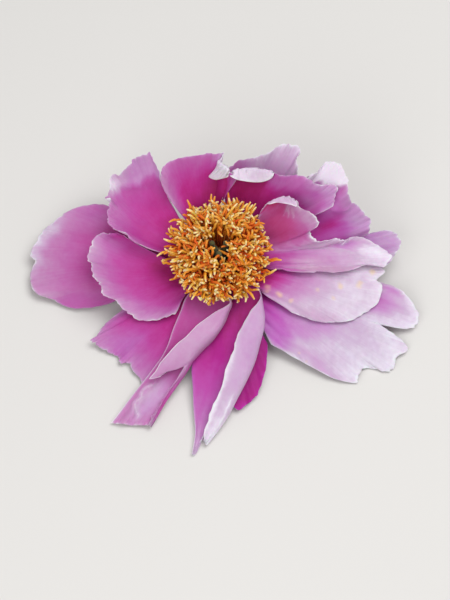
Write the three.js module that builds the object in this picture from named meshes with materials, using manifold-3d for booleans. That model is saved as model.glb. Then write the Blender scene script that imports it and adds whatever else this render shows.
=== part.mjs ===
// Peony bloom, picked with a stub of its stem and laid face up on a surface.
// Millimetres and degrees, +Z up, the surface at z = 0. Places on the bloom are given round its upright axis as
// [bearing, reach, height]: bearing counter-clockwise from +X, reach out from the axis, height over the surface.
import * as THREE from "three";
import { mergeVertices } from "three/addons/utils/BufferGeometryUtils.js";
import Module from "manifold-3d";

const wasm = await Module();
wasm.setup();

// Driving sizes
const BLOOM_SCALE = 1; // 1 is a bloom 156 mm across
const PETAL_THICKNESS = 0.7;
const SEPAL_THICKNESS = 0.9;
const SEAT_GAP = 0.3; // between pieces that touch

// The receptacle, the green knob in the middle that carries everything else
const KNOB_RADIUS = 9;
const KNOB_TOP = 21;
const CALYX_RADIUS = 7; // the knob's lower part, where the sepals grow
const CALYX_FLOOR = 6.5;

// The petals' narrow lower ends, in three rings on the knob's side
const CLAW_REACH = KNOB_RADIUS + SEAT_GAP + 0.2; // a steep claw leans a little way back to the knob
const CLAW_WIDTH = 6.5;
const CLAW_HEIGHT = { outer: 14, middle: 16, inner: 18 };

// How a petal's strings run from its claw to its margin
const STRING_PULL = 0.38; // handle length of each string's curve, as a share of its chord
const FAN_SHARE = 0.5; // how far a string already turns to its own margin point at the claw
const ROWS = 9; // steps from claw to margin
const ROW_CROWDING = 1.4; // over 1 packs the rows closer towards the margin
const FOLDED_STEPS = 3; // steps between two of the strings that a folded petal is given by

// The petals lie on one another: height maps of what is already laid
const LAY_GAP = 0.45;
const CELL = 0.5;
const MAP_REACH = 95;
const CELLS = Math.round((2 * MAP_REACH) / CELL);
const LIFT_EASE = 5; // cells over which a lift fades out
const STEEPEST = 0.35; // least cosine of a petal's slope that the maps allow for
const EMPTY = -50;

const UP = new THREE.Vector3(0, 0, 1);
const radians = THREE.MathUtils.degToRad;
const { smoothstep, clamp, lerp } = THREE.MathUtils;

// Geometry helpers

function place([bearing, reach, height]) {
  const angle = radians(bearing);
  return new THREE.Vector3(reach * Math.cos(angle), reach * Math.sin(angle), height);
}

function through(points) {
  return new THREE.CatmullRomCurve3(points, false, "centripetal");
}

function rowShares(rows) {
  return Array.from({ length: rows + 1 }, (_, row) => 1 - (1 - row / rows) ** ROW_CROWDING);
}

// Unit normals of a grid of points, towards the petal's inner face
function normalsOf(grid) {
  const sums = grid.map((row) => row.map(() => new THREE.Vector3()));
  for (let i = 0; i + 1 < grid.length; i++)
    for (let j = 0; j + 1 < grid[0].length; j++) {
      const rising = grid[i + 1][j + 1].clone().sub(grid[i][j]);
      const crossing = grid[i][j + 1].clone().sub(grid[i + 1][j]);
      const area = rising.cross(crossing);
      for (const [a, b] of [[i, j], [i + 1, j], [i, j + 1], [i + 1, j + 1]]) sums[a][b].add(area);
    }
  return sums.map((row) => row.map((sum) => sum.normalize()));
}

// The claw's end: an arc on the knob's side, as points for the given shares across it
function clawPoints(petal, shares) {
  const width = petal.clawWidth ?? CLAW_WIDTH;
  const reach = petal.clawReach ?? CLAW_REACH;
  const height = petal.clawHeight ?? CLAW_HEIGHT[petal.ring];
  const spread = THREE.MathUtils.radToDeg(width / reach);
  return shares.map((share) => place([petal.seat + spread * (share - 0.5), reach, height]));
}

// An open petal: one string from the claw to each point of the margin
function openPetal(petal, rows) {
  const margin = petal.margin.map(place);
  const last = margin.length - 1;
  const claw = clawPoints(petal, margin.map((_, j) => j / last));
  const outFromSeat = place([petal.seat, 1, 0]);
  const leave = radians(petal.leave);
  const strings = margin.map((end, j) => {
    const chord = end.clone().sub(claw[j]);
    const handle = chord.length() * STRING_PULL;
    const level = chord.clone().setZ(0).normalize();
    const start = outFromSeat.clone().lerp(level, FAN_SHARE).normalize();
    start.multiplyScalar(Math.cos(leave)).addScaledVector(UP, Math.sin(leave));
    const at = (j / last) * (petal.arrive.length - 1);
    const before = Math.min(Math.floor(at), petal.arrive.length - 2);
    const flare = lerp(petal.arrive[before], petal.arrive[before + 1], at - before);
    const rise = Math.atan2(chord.z, Math.hypot(chord.x, chord.y)) + radians(flare);
    const finish = level.multiplyScalar(Math.cos(rise)).addScaledVector(UP, Math.sin(rise));
    return new THREE.CubicBezierCurve3(
      claw[j],
      claw[j].clone().addScaledVector(start, handle),
      end.clone().addScaledVector(finish, -handle),
      end,
    );
  });
  return rowShares(rows).map((share) => strings.map((string) => string.getPoint(share)));
}

// A petal folded lengthwise: its strings are given, from one margin over the fold to the other
function foldedPetal(petal, rows) {
  const last = petal.strings.length - 1;
  const strings = petal.strings.map((points) => through(points.map(place)));
  return rowShares(rows).map((share) =>
    through(strings.map((string) => string.getPointAt(share))).getPoints(last * FOLDED_STEPS),
  );
}

// Rolls a point that lies past a fold's foot round a rod of the given radius
function bendPoint(point, foot, across, normal, turn, radius) {
  const from = point.clone().sub(foot);
  const past = from.dot(across);
  if (past <= 0) return point;
  const over = from.dot(normal);
  const angle = Math.min(past / radius, turn);
  const left = past - radius * angle;
  const sine = Math.sin(angle);
  const cosine = Math.cos(angle);
  return point
    .clone()
    .addScaledVector(across, radius * sine + left * cosine - over * sine - past)
    .addScaledVector(normal, radius * (1 - cosine) + left * sine + over * cosine - over);
}

// A crease: the petal past a straight line is folded over its inner face (face 1) or back (face -1)
function crease(grid, { line, turn, radius, face, fade }, seat) {
  const normals = normalsOf(grid);
  const ends = line.map((end) => {
    const point = place(end);
    let nearest = [0, 0];
    let least = Infinity;
    grid.forEach((row, i) =>
      row.forEach((vertex, j) => {
        const distance = vertex.distanceTo(point);
        if (distance < least) {
          least = distance;
          nearest = [i, j];
        }
      }),
    );
    const normal = normals[nearest[0]][nearest[1]];
    const above = point.clone().sub(grid[nearest[0]][nearest[1]]).dot(normal);
    return { point: point.addScaledVector(normal, -above), normal };
  });
  const foot = ends[0].point;
  const along = ends[1].point.clone().sub(foot);
  const length = along.length();
  along.normalize();
  const normal = ends[0].normal.clone().add(ends[1].normal);
  normal.addScaledVector(along, -normal.dot(along)).normalize();
  const across = along.clone().cross(normal);
  const middle = foot.clone().addScaledVector(along, length / 2);
  if (across.dot(middle.sub(seat)) < 0) across.negate();
  normal.multiplyScalar(face);
  return grid.map((row) =>
    row.map((point) => {
      const at = point.clone().sub(foot).dot(along);
      const weight = smoothstep(at, -fade, 0) * (1 - smoothstep(at, length, length + fade));
      return bendPoint(point, foot, across, normal, radians(turn) * weight, radius);
    }),
  );
}

// A rolled rim: the outer end of the strings between two shares of the margin is rolled over
function rollRim(grid, { at, between, soft, turn, radius, face }) {
  const normals = normalsOf(grid);
  const shares = rowShares(grid.length - 1);
  const row = shares.findLastIndex((share) => share <= at);
  const part = (at - shares[row]) / (shares[row + 1] - shares[row]);
  const lastColumn = grid[0].length - 1;
  const rolled = grid.map((points) => [...points]);
  for (let j = 0; j <= lastColumn; j++) {
    const share = j / lastColumn;
    const [first, final] = between;
    const weight =
      smoothstep(share, first - soft, first + soft) * (1 - smoothstep(share, final - soft, final + soft));
    if (weight < 0.01) continue;
    const foot = grid[row][j].clone().lerp(grid[row + 1][j], part);
    const normal = normals[row][j].clone();
    const across = grid[row + 1][j].clone().sub(grid[row][j]);
    across.addScaledVector(normal, -across.dot(normal)).normalize();
    normal.multiplyScalar(face);
    for (let i = row + 1; i < grid.length; i++)
      rolled[i][j] = bendPoint(grid[i][j], foot, across, normal, radians(turn) * weight, radius);
  }
  return rolled;
}

// The middle surface of a petal, with its rolled rims and creases
function petalSurface(petal, rows) {
  let grid = petal.strings ? foldedPetal(petal, rows) : openPetal(petal, rows);
  for (const roll of petal.rolls ?? []) grid = rollRim(grid, roll);
  const seat = clawPoints(petal, [0.5])[0];
  for (const fold of petal.creases ?? []) grid = crease(grid, fold, seat);
  return grid;
}

// Laying the petals: each new one is lifted, where it must be, clear of those under it

function cellOf(value) {
  return clamp(Math.floor((value + MAP_REACH) / CELL), 0, CELLS - 1);
}

// Calls visit(x, y, z, cosine) for points spread over the grid's triangles
function sampleSurface(grid, visit) {
  const normals = normalsOf(grid);
  for (let i = 0; i + 1 < grid.length; i++)
    for (let j = 0; j + 1 < grid[0].length; j++)
      for (const corners of [
        [[i, j], [i + 1, j], [i + 1, j + 1]],
        [[i, j], [i + 1, j + 1], [i, j + 1]],
      ]) {
        const points = corners.map(([a, b]) => grid[a][b]);
        const longest = Math.max(...points.map((point, k) => point.distanceTo(points[(k + 1) % 3])));
        const steps = Math.ceil(longest / (0.7 * CELL));
        const cosines = corners.map(([a, b]) => Math.max(Math.abs(normals[a][b].z), STEEPEST));
        for (let s = 0; s <= steps; s++)
          for (let t = 0; t <= steps - s; t++) {
            const weights = [s / steps, t / steps, 1 - (s + t) / steps];
            const mix = (pick) => weights.reduce((sum, weight, k) => sum + weight * pick(k), 0);
            visit(
              mix((k) => points[k].x),
              mix((k) => points[k].y),
              mix((k) => points[k].z),
              mix((k) => cosines[k]),
            );
          }
      }
}

// A map in which every value is taken over its neighbours along one axis, by the given rule
function alongAxis(map, stride, rule) {
  const result = new Float64Array(map.length);
  for (let cell = 0; cell < map.length; cell++) {
    const here = stride === 1 ? cell % CELLS : Math.floor(cell / CELLS);
    const values = [];
    for (let step = -LIFT_EASE; step <= LIFT_EASE; step++)
      if (here + step >= 0 && here + step < CELLS) values.push(map[cell + step * stride]);
    result[cell] = rule(values);
  }
  return result;
}

const highest = (values) => Math.max(...values);
const average = (values) => values.reduce((sum, value) => sum + value, 0) / (2 * LIFT_EASE + 1);

function lookUp(map, x, y) {
  const column = (x + MAP_REACH) / CELL - 0.5;
  const row = (y + MAP_REACH) / CELL - 0.5;
  const i = Math.floor(row);
  const j = Math.floor(column);
  const low = lerp(map[i * CELLS + j], map[i * CELLS + j + 1], column - j);
  const high = lerp(map[(i + 1) * CELLS + j], map[(i + 1) * CELLS + j + 1], column - j);
  return lerp(low, high, row - i);
}

const laid = new Float64Array(CELLS * CELLS).fill(EMPTY);

function lay(grid, thickness) {
  const need = new Float64Array(CELLS * CELLS);
  sampleSurface(grid, (x, y, z, cosine) => {
    const cell = cellOf(y) * CELLS + cellOf(x);
    need[cell] = Math.max(need[cell], laid[cell] - z + (thickness / 2 + LAY_GAP) / cosine);
  });
  let lift = need;
  for (const rule of [highest, average]) {
    lift = alongAxis(lift, 1, rule);
    lift = alongAxis(lift, CELLS, rule);
  }
  const lifted = grid.map((row) =>
    row.map((point) => {
      const height = point.z + lookUp(lift, point.x, point.y);
      return point.clone().setZ(Math.max(height, thickness / 2));
    }),
  );
  sampleSurface(lifted, (x, y, z, cosine) => {
    const cell = cellOf(y) * CELLS + cellOf(x);
    laid[cell] = Math.max(laid[cell], z + thickness / 2 / cosine);
  });
  return lifted;
}

// Closed solids

function geometryOf(vertices, faces) {
  const geometry = new THREE.BufferGeometry();
  geometry.setAttribute("position", new THREE.Float32BufferAttribute(vertices.flatMap((v) => v.toArray()), 3));
  geometry.setIndex(faces.flat());
  geometry.computeVertexNormals();
  return geometry;
}

// A blade of even thickness round a middle surface, split into triangles alike on both faces
function blade(grid, thickness) {
  const normals = normalsOf(grid);
  const rows = grid.length;
  const columns = grid[0].length;
  const face = (side) =>
    grid.flatMap((row, i) =>
      row.map((point, j) => {
        const moved = point.clone().addScaledVector(normals[i][j], (side * thickness) / 2);
        return moved.setZ(Math.max(moved.z, side < 0 ? 0 : thickness));
      }),
    );
  const inner = (i, j) => i * columns + j;
  const outer = (i, j) => rows * columns + i * columns + j;
  const faces = [];
  for (let i = 0; i + 1 < rows; i++)
    for (let j = 0; j + 1 < columns; j++) {
      faces.push([inner(i, j), inner(i + 1, j), inner(i + 1, j + 1)]);
      faces.push([inner(i, j), inner(i + 1, j + 1), inner(i, j + 1)]);
      faces.push([outer(i, j), outer(i + 1, j + 1), outer(i + 1, j)]);
      faces.push([outer(i, j), outer(i, j + 1), outer(i + 1, j + 1)]);
    }
  const rim = [];
  for (let i = 0; i < rows; i++) rim.push([i, 0]);
  for (let j = 1; j < columns; j++) rim.push([rows - 1, j]);
  for (let i = rows - 2; i >= 0; i--) rim.push([i, columns - 1]);
  for (let j = columns - 2; j > 0; j--) rim.push([0, j]);
  rim.forEach((from, k) => {
    const to = rim[(k + 1) % rim.length];
    faces.push([inner(...from), outer(...from), outer(...to)]);
    faces.push([inner(...from), outer(...to), inner(...to)]);
  });
  return geometryOf([...face(1), ...face(-1)], faces);
}

// A closed tube with flat ends, from rings of one radius each round the points of a path
function tube(path, radii, sides) {
  const vertices = [];
  path.forEach((point, k) => {
    const ahead = path[Math.min(k + 1, path.length - 1)].clone().sub(path[Math.max(k - 1, 0)]).normalize();
    const turned = new THREE.Quaternion().setFromUnitVectors(UP, ahead);
    for (let side = 0; side < sides; side++) {
      const angle = (2 * Math.PI * side) / sides;
      const spoke = new THREE.Vector3(Math.cos(angle), Math.sin(angle), 0).multiplyScalar(radii[k]);
      vertices.push(spoke.applyQuaternion(turned).add(point));
    }
  });
  const faces = [];
  const at = (ring, side) => ring * sides + (side % sides);
  for (let ring = 0; ring + 1 < path.length; ring++)
    for (let side = 0; side < sides; side++) {
      faces.push([at(ring, side), at(ring, side + 1), at(ring + 1, side + 1)]);
      faces.push([at(ring, side), at(ring + 1, side + 1), at(ring + 1, side)]);
    }
  for (let side = 1; side + 1 < sides; side++) {
    faces.push([at(0, 0), at(0, side + 1), at(0, side)]);
    faces.push([at(path.length - 1, 0), at(path.length - 1, side), at(path.length - 1, side + 1)]);
  }
  return geometryOf(vertices, faces);
}

function turned(profile, segments) {
  const geometry = new THREE.LatheGeometry(profile.map(([x, y]) => new THREE.Vector2(x, y)), segments);
  return geometry.rotateX(Math.PI / 2);
}

function solidOf(geometry) {
  const bare = geometry.clone();
  bare.deleteAttribute("normal");
  bare.deleteAttribute("uv");
  const merged = mergeVertices(bare, 1e-4);
  const vertProperties = merged.attributes.position.array;
  const triVerts = new Uint32Array(merged.index.array);
  return new wasm.Manifold(new wasm.Mesh({ numProp: 3, vertProperties, triVerts }));
}

// Joins closed shapes into one solid
function fuse(geometries) {
  let solids = geometries.map(solidOf);
  while (solids.length > 1) {
    const pairs = [];
    for (let k = 0; k < solids.length; k += 2)
      pairs.push(k + 1 < solids.length ? solids[k].add(solids[k + 1]) : solids[k]);
    solids = pairs;
  }
  const mesh = solids[0].getMesh();
  const geometry = new THREE.BufferGeometry();
  geometry.setAttribute("position", new THREE.BufferAttribute(new Float32Array(mesh.vertProperties), 3));
  geometry.setIndex(new THREE.BufferAttribute(new Uint32Array(mesh.triVerts), 1));
  geometry.computeVertexNormals();
  return geometry;
}

// A repeatable stream of numbers from 0 to 1
function seeded(seed) {
  let state = seed;
  return () => {
    state = (state * 1664525 + 1013904223) % 4294967296;
    return state / 4294967296;
  };
}

const bloom = new THREE.Group();

function add(name, geometry, colour, roughness) {
  const material = new THREE.MeshStandardMaterial({ color: colour, roughness, metalness: 0 });
  material.side = THREE.FrontSide;
  const mesh = new THREE.Mesh(geometry, material);
  mesh.name = name;
  bloom.add(mesh);
}

// Petals, from the lowest to the one on top. `leave` is the slope at the claw. `arrive` is how much steeper
// than its chord the petal ends, at even steps along the margin, which runs counter-clockwise seen from above.
const PETALS = [
  {
    name: "petal_front_under", ring: "outer", seat: 288, leave: -12, arrive: [-4, -5, -5, -4],
    margin: [
      [273, 52, 3.5], [277, 58, 2.5], [282, 56, 2.5], [286, 54, 2.5], [290, 50, 3.5], [297, 42, 5],
      [303, 36, 6.5],
    ],
  },
  {
    name: "petal_lower_right", ring: "outer", seat: 330, leave: -6, arrive: [-6, -8, -8, -6],
    margin: [
      [304, 37, 7], [310, 47, 5], [313, 54, 4], [317, 65, 2], [321, 71, 1], [323, 70, 2], [326, 70, 2],
      [328, 74, 1], [329, 78, 1], [331, 80, 1], [334, 79, 2], [338, 82, 2], [340, 79, 3], [341, 73, 4],
      [342, 67, 5], [343, 76, 4], [345, 82, 3], [348, 83, 4], [353, 78, 6], [355, 74, 7], [357, 66, 8],
    ],
  },
  {
    name: "petal_outer_left", ring: "outer", seat: 178, leave: 0, arrive: [-8, -14, -14, -10],
    margin: [
      [148, 44, 16], [149, 54, 15], [155, 63, 13], [162, 71, 11], [167, 76, 8], [172, 78, 6], [174, 76, 6],
      [178, 77, 5], [182, 76, 4], [186, 73, 3], [189, 66, 3], [192, 59, 3], [195, 50, 5],
    ],
  },
  {
    name: "petal_lower_left", ring: "outer", seat: 222, leave: -8, arrive: [-8, -8, -8, -8],
    margin: [
      [200, 34, 11], [202, 42, 8], [204, 50, 5], [206, 55, 3], [208, 58, 2], [211, 58, 2], [218, 54, 2],
      [222, 54, 2], [225, 52, 2], [229, 54, 2], [236, 55, 2], [241, 55, 2], [244, 49, 3], [246, 37, 6],
    ],
  },
  {
    name: "petal_outer_right", ring: "middle", seat: 8, leave: -4, arrive: [5, 5, 10, 10],
    margin: [
      [360, 63, 10], [362, 69, 14], [365, 72, 15], [367, 74, 17], [370, 74, 18], [372, 71, 19],
      [372, 64, 20],
    ],
  },
  {
    name: "petal_back_outer", ring: "outer", seat: 66, leave: 5, arrive: [30, 35, 35, 30],
    margin: [
      [39, 43, 34], [43, 43, 38], [46, 45, 40], [48, 47, 42], [50, 50, 44], [53, 49, 46], [56, 48, 45],
      [62, 43, 42], [68, 40, 40], [77, 36, 39], [84, 34, 37],
    ],
  },
  {
    name: "petal_upper_right", ring: "outer", seat: 25, leave: 5, arrive: [20, 30, 30, 20],
    margin: [
      [10, 61, 24], [13, 63, 27], [17, 60, 29], [21, 57, 32], [23, 57, 36], [28, 58, 41], [33, 58, 44],
      [35, 56, 44], [37, 53, 42], [38, 47, 38],
    ],
    rolls: [{ at: 0.86, between: [0.5, 0.8], soft: 0.08, turn: 60, radius: 7, face: -1 }],
  },
  {
    name: "petal_right", ring: "middle", seat: 335, leave: 15, arrive: [-10, -15, -10, -5],
    margin: [
      [326, 34, 12], [327, 39, 11], [329, 44, 10], [333, 50, 9], [336, 55, 9], [341, 60, 9], [346, 64, 9],
      [351, 66, 10], [355, 66, 11], [356, 64, 12], [359, 67, 13], [361, 65, 13], [362, 55, 13],
    ],
  },
  {
    name: "petal_left", ring: "middle", seat: 192, leave: -5, arrive: [20, 30, 30, 20],
    margin: [
      [167, 38, 22], [168, 45, 25], [169, 48, 24], [171, 50, 24], [176, 52, 23], [181, 53, 22], [184, 51, 22],
      [189, 51, 21], [194, 48, 19], [197, 48, 17], [201, 45, 15], [204, 43, 14], [209, 41, 12], [215, 39, 11],
      [220, 35, 11], [226, 31, 12], [230, 27, 13],
    ],
  },
  {
    name: "petal_back", ring: "middle", seat: 60, leave: 15, arrive: [10, 15, 15, 10],
    margin: [
      [21, 49, 33], [25, 52, 35], [29, 51, 37], [37, 43, 38], [45, 38, 39], [50, 36, 40], [53, 36, 41],
      [60, 37, 45], [66, 35, 46], [71, 34, 46], [75, 34, 45], [78, 33, 42], [80, 31, 38], [82, 28, 33],
    ],
    creases: [{ line: [[52, 36, 40], [82, 29, 40]], turn: 140, radius: 1.5, face: 1, fade: 1.5 }],
  },
  {
    name: "petal_front_folded", ring: "middle", seat: 280,
    strings: [
      [
        [262, CLAW_REACH, 15], [251, 17, 13], [253, 31, 9], [255, 42, 6.5],
        [258, 50, 5], [260, 58, 3.5], [262, 68, 2.5], [262, 77, 1.5],
      ],
      [
        [280, CLAW_REACH, 14.5], [286, 16, 14], [277, 28, 10], [271, 41, 7],
        [268, 52, 4], [265, 62, 2.5], [264, 70, 1.5], [263, 77, 1],
      ],
      [
        [300, CLAW_REACH, 15], [323, 20, 16], [313, 26, 14], [304, 31, 12],
        [295, 37, 9], [285, 45, 7], [272, 62, 3], [266, 72, 1.5],
      ],
      [
        [301, CLAW_REACH, 16.5], [322, 20, 18], [311, 27, 17], [303, 32, 15],
        [294, 38, 12], [285, 46, 10], [272, 62, 5.5], [265, 73, 3],
      ],
      [
        [294, CLAW_REACH, 18.5], [311, 22, 20], [292, 29, 18], [280, 36, 15],
        [276, 41, 12.5], [271, 47, 10], [266, 62, 5.5], [263, 72, 4],
      ],
    ],
  },
  {
    name: "petal_front_left_folded", ring: "middle", seat: 242,
    strings: [
      [
        [224, CLAW_REACH, 16], [228, 20, 16], [232, 25, 13], [236, 33, 11],
        [239, 41, 9], [238, 49, 7], [237, 56, 5], [236, 76, 2],
      ],
      [
        [244, CLAW_REACH, 15], [246, 15, 14], [247, 23, 11], [246, 32, 8],
        [244, 41, 6], [243, 51, 4.5], [242, 62, 3], [241, 73, 2],
      ],
      [
        [262, CLAW_REACH, 15.5], [278, 14, 16], [284, 18, 14], [270, 27, 11],
        [261, 35, 8], [255, 41, 6.5], [249, 57, 3.5], [247, 70, 2.5],
      ],
      [
        [264, CLAW_REACH, 17], [278, 15, 18], [285, 19, 17], [270, 29, 15.5],
        [258, 41, 12], [250, 48, 10], [246, 54, 8], [245, 72, 4],
      ],
      [
        [258, CLAW_REACH, 18.5], [274, 17, 19], [254, 28, 17], [245, 39, 14.5],
        [240, 49, 12], [240, 56, 10], [241, 67, 5.5], [243, 73, 4],
      ],
    ],
  },
  {
    name: "petal_inner_right", ring: "inner", seat: 12, clawWidth: 9, leave: 14,
    arrive: [5, 5, 10, 20, 20, 25, 30, 20],
    margin: [
      [350, 33, 21], [354, 41, 20], [357, 51, 19], [360, 67, 15], [362, 65, 19], [365, 60, 23],
      [368, 54, 27], [369, 49, 28], [369, 45, 28], [370, 39, 29], [374, 37, 29], [375, 39, 30], [377, 41, 32],
      [380, 41, 34], [384, 38, 36], [388, 36, 37], [393, 34, 37], [397, 30, 36], [398, 25, 34],
    ],
    rolls: [{ at: 0.9, between: [0.66, 0.95], soft: 0.04, turn: 140, radius: 1.5, face: 1 }],
  },
  {
    name: "petal_upper_left", ring: "inner", seat: 148, leave: 5, arrive: [25, 35, 35, 25],
    margin: [
      [130, 35, 32], [130, 41, 38], [130, 46, 44], [137, 47, 43], [140, 47, 42], [144, 48, 41], [147, 49, 40],
      [149, 52, 39], [151, 52, 37], [153, 50, 34], [155, 51, 34], [156, 49, 33], [160, 48, 31], [165, 48, 28],
      [166, 46, 27], [168, 43, 26], [169, 40, 25], [171, 35, 24], [172, 28, 23],
    ],
    creases: [{ line: [[147, 49, 40], [155, 49, 33]], turn: 50, radius: 2, face: -1, fade: 2 }],
  },
  {
    name: "petal_back_left", ring: "inner", seat: 108, leave: 25, arrive: [15, 15, 20, 20],
    margin: [
      [74, 35, 47], [78, 35, 46], [82, 34, 45], [86, 32, 44], [88, 35, 46.5],
      [97, 35, 46], [106, 35, 45], [115, 37, 44], [122, 38, 42.5], [127, 38, 40], [132, 36, 37],
      [134, 31, 31.5],
    ],
    creases: [{ line: [[82, 28, 38.5], [90, 32, 43]], turn: 115, radius: 1.5, face: 1, fade: 2 }],
  },
];
const PETAL_COLOUR = "#b5469c";
for (const petal of PETALS) {
  const grid = lay(petalSurface(petal, ROWS), PETAL_THICKNESS);
  add(petal.name, blade(grid, PETAL_THICKNESS), PETAL_COLOUR, 0.6);
}

// Sepals: five small green leaves under the petals, arched down so that their tips rest on the surface
const SEPAL_COUNT = 5;
const SEPAL_FIRST = 20; // bearing of the first one
const SEPAL_CLAW_HEIGHT = 9;
const SEPAL_ROWS = 6;
const SEPAL_CLAW_WIDTH = 6;
const SEPAL_OUTLINE = [
  [-26, 15, 4], [-25, 20, 1.5], [-18, 24, 0.5], [0, 26, 0.5], [18, 24, 0.5], [25, 20, 1.5], [26, 15, 4],
];
for (let k = 0; k < SEPAL_COUNT; k++) {
  const seat = SEPAL_FIRST + (360 / SEPAL_COUNT) * k;
  const sepal = {
    seat,
    clawWidth: SEPAL_CLAW_WIDTH,
    clawReach: CALYX_RADIUS + SEAT_GAP,
    clawHeight: SEPAL_CLAW_HEIGHT,
    leave: 5,
    arrive: [-20, -25, -20],
    margin: SEPAL_OUTLINE.map(([bearing, reach, height]) => [seat + bearing, reach, height]),
  };
  const surface = petalSurface(sepal, SEPAL_ROWS);
  surface.forEach((row) => row.forEach((point) => point.setZ(Math.max(point.z, SEPAL_THICKNESS / 2))));
  add(`sepal_${k + 1}`, blade(surface, SEPAL_THICKNESS), "#6f8f4a", 0.65);
}

// Receptacle and the stub of the cut stem
const ROUND = 32;
const KNOB_PROFILE = [
  [0, CALYX_FLOOR],
  [CALYX_RADIUS - 2, CALYX_FLOOR],
  [CALYX_RADIUS, CALYX_FLOOR + 1.5],
  [CALYX_RADIUS, CALYX_FLOOR + 4.5],
  [KNOB_RADIUS, CALYX_FLOOR + 6],
  [KNOB_RADIUS, KNOB_TOP],
  [0, KNOB_TOP],
];
add("receptacle", turned(KNOB_PROFILE, ROUND), "#8aa04f", 0.7);
const STEM_RADIUS = 3.5;
const STEM_FOOT = 0.8;
const STEM_TOP = CALYX_FLOOR - SEAT_GAP;
const STEM_PROFILE = [[0, STEM_FOOT], [STEM_RADIUS, STEM_FOOT], [STEM_RADIUS, STEM_TOP], [0, STEM_TOP]];
add("stem_stub", turned(STEM_PROFILE, ROUND), "#5f7d3c", 0.65);

// Stamens: a ring on the knob carries the filaments, each ending in a long anther. The head leans forward:
// its back stamens stand higher than its front ones.
const STAMENS = 150;
const STAMEN_SIDES = 3;
const RING_INNER = 3.4;
const RING_OUTER = 8.4;
const RING_FLOOR = KNOB_TOP + SEAT_GAP;
const RING_TOP = RING_FLOOR + 1.4;
const ROOT_DEPTH = 0.9;
const HEAD_INNER = 6.5; // reach of the innermost anthers
const HEAD_OUTER = 22;
const HEAD_TOP = 36.5;
const HEAD_DROP = 6; // how much lower the outermost anthers are
const HEAD_LEAN = 5;
const ANTHER_LENGTH = 4.6;
const GOLDEN_TURN = 137.508;

function stamen(k, random) {
  const share = (k + 0.5) / STAMENS;
  const spread = Math.sqrt(share);
  const bearing = k * GOLDEN_TURN;
  const root = place([bearing, lerp(RING_INNER + 0.7, RING_OUTER - 0.7, spread), RING_TOP - ROOT_DEPTH]);
  const reach = lerp(HEAD_INNER, HEAD_OUTER, share ** 0.6) + 1.2 * (random() - 0.5);
  const out = reach / HEAD_OUTER;
  const lean = HEAD_LEAN * Math.sin(radians(bearing)) * out;
  const height = HEAD_TOP - HEAD_DROP * out ** 2 + lean + 2.4 * (random() - 0.5);
  const tip = place([bearing + 10 * (random() - 0.5), reach, height]);
  const neck = root.clone().lerp(tip, 1 - ANTHER_LENGTH / root.distanceTo(tip));
  neck.add(place([360 * random(), 0.9, 0.4]));
  const knee = root.clone().lerp(neck, 0.5).add(place([bearing, 0.6, 0.8]));
  const middle = neck.clone().lerp(tip, 0.4);
  return tube([root, knee, neck, middle, tip], [0.5, 0.42, 0.45, 1.1, 0.45], STAMEN_SIDES);
}

const stamenRing = turned(
  [[RING_INNER, RING_FLOOR], [RING_OUTER, RING_FLOOR], [RING_OUTER, RING_TOP], [RING_INNER, RING_TOP],
    [RING_INNER, RING_FLOOR]],
  ROUND,
);
const stamenDraw = seeded(11);
const stamens = Array.from({ length: STAMENS }, (_, k) => stamen(k, stamenDraw));
add("stamens", fuse([stamenRing, ...stamens]), "#e8a43a", 0.55);

// Carpels: three flasks in the hollow of the stamens, on a small disc of their own
const CARPELS = 3;
const DISC_RADIUS = RING_INNER - SEAT_GAP;
const DISC_TOP = RING_FLOOR + 1;
const CARPEL_REACH = 1.7;
const CARPEL_OUTLINE = [
  [0, -0.6], [1.1, -0.6], [1.7, 2], [1.8, 4], [1.3, 6.5], [0.7, 8], [1.2, 9], [0.9, 10], [0, 10.2],
];
const disc = turned([[0, RING_FLOOR], [DISC_RADIUS, RING_FLOOR], [DISC_RADIUS, DISC_TOP], [0, DISC_TOP]], ROUND);
const flasks = Array.from({ length: CARPELS }, (_, k) => {
  const flask = turned(CARPEL_OUTLINE, 9);
  const outward = place([30 + (360 / CARPELS) * k, 1, 0]);
  flask.applyQuaternion(new THREE.Quaternion().setFromUnitVectors(UP, outward.clone().setZ(6).normalize()));
  const foot = outward.multiplyScalar(CARPEL_REACH).setZ(DISC_TOP);
  return flask.translate(foot.x, foot.y, foot.z);
});
add("carpels", fuse([disc, ...flasks]), "#6d7a35", 0.6);

// Origin: the middle of the bloom's own box, on the surface it rests on
bloom.scale.setScalar(BLOOM_SCALE);
bloom.updateMatrixWorld(true);
const box = new THREE.Box3().setFromObject(bloom, true);
const centre = box.getCenter(new THREE.Vector3());
bloom.position.set(-centre.x, -centre.y, -box.min.z);

export default bloom;
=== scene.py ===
import itertools
import math
from functools import partial

import bpy
import numpy as np
from mathutils import Matrix, Vector


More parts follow.
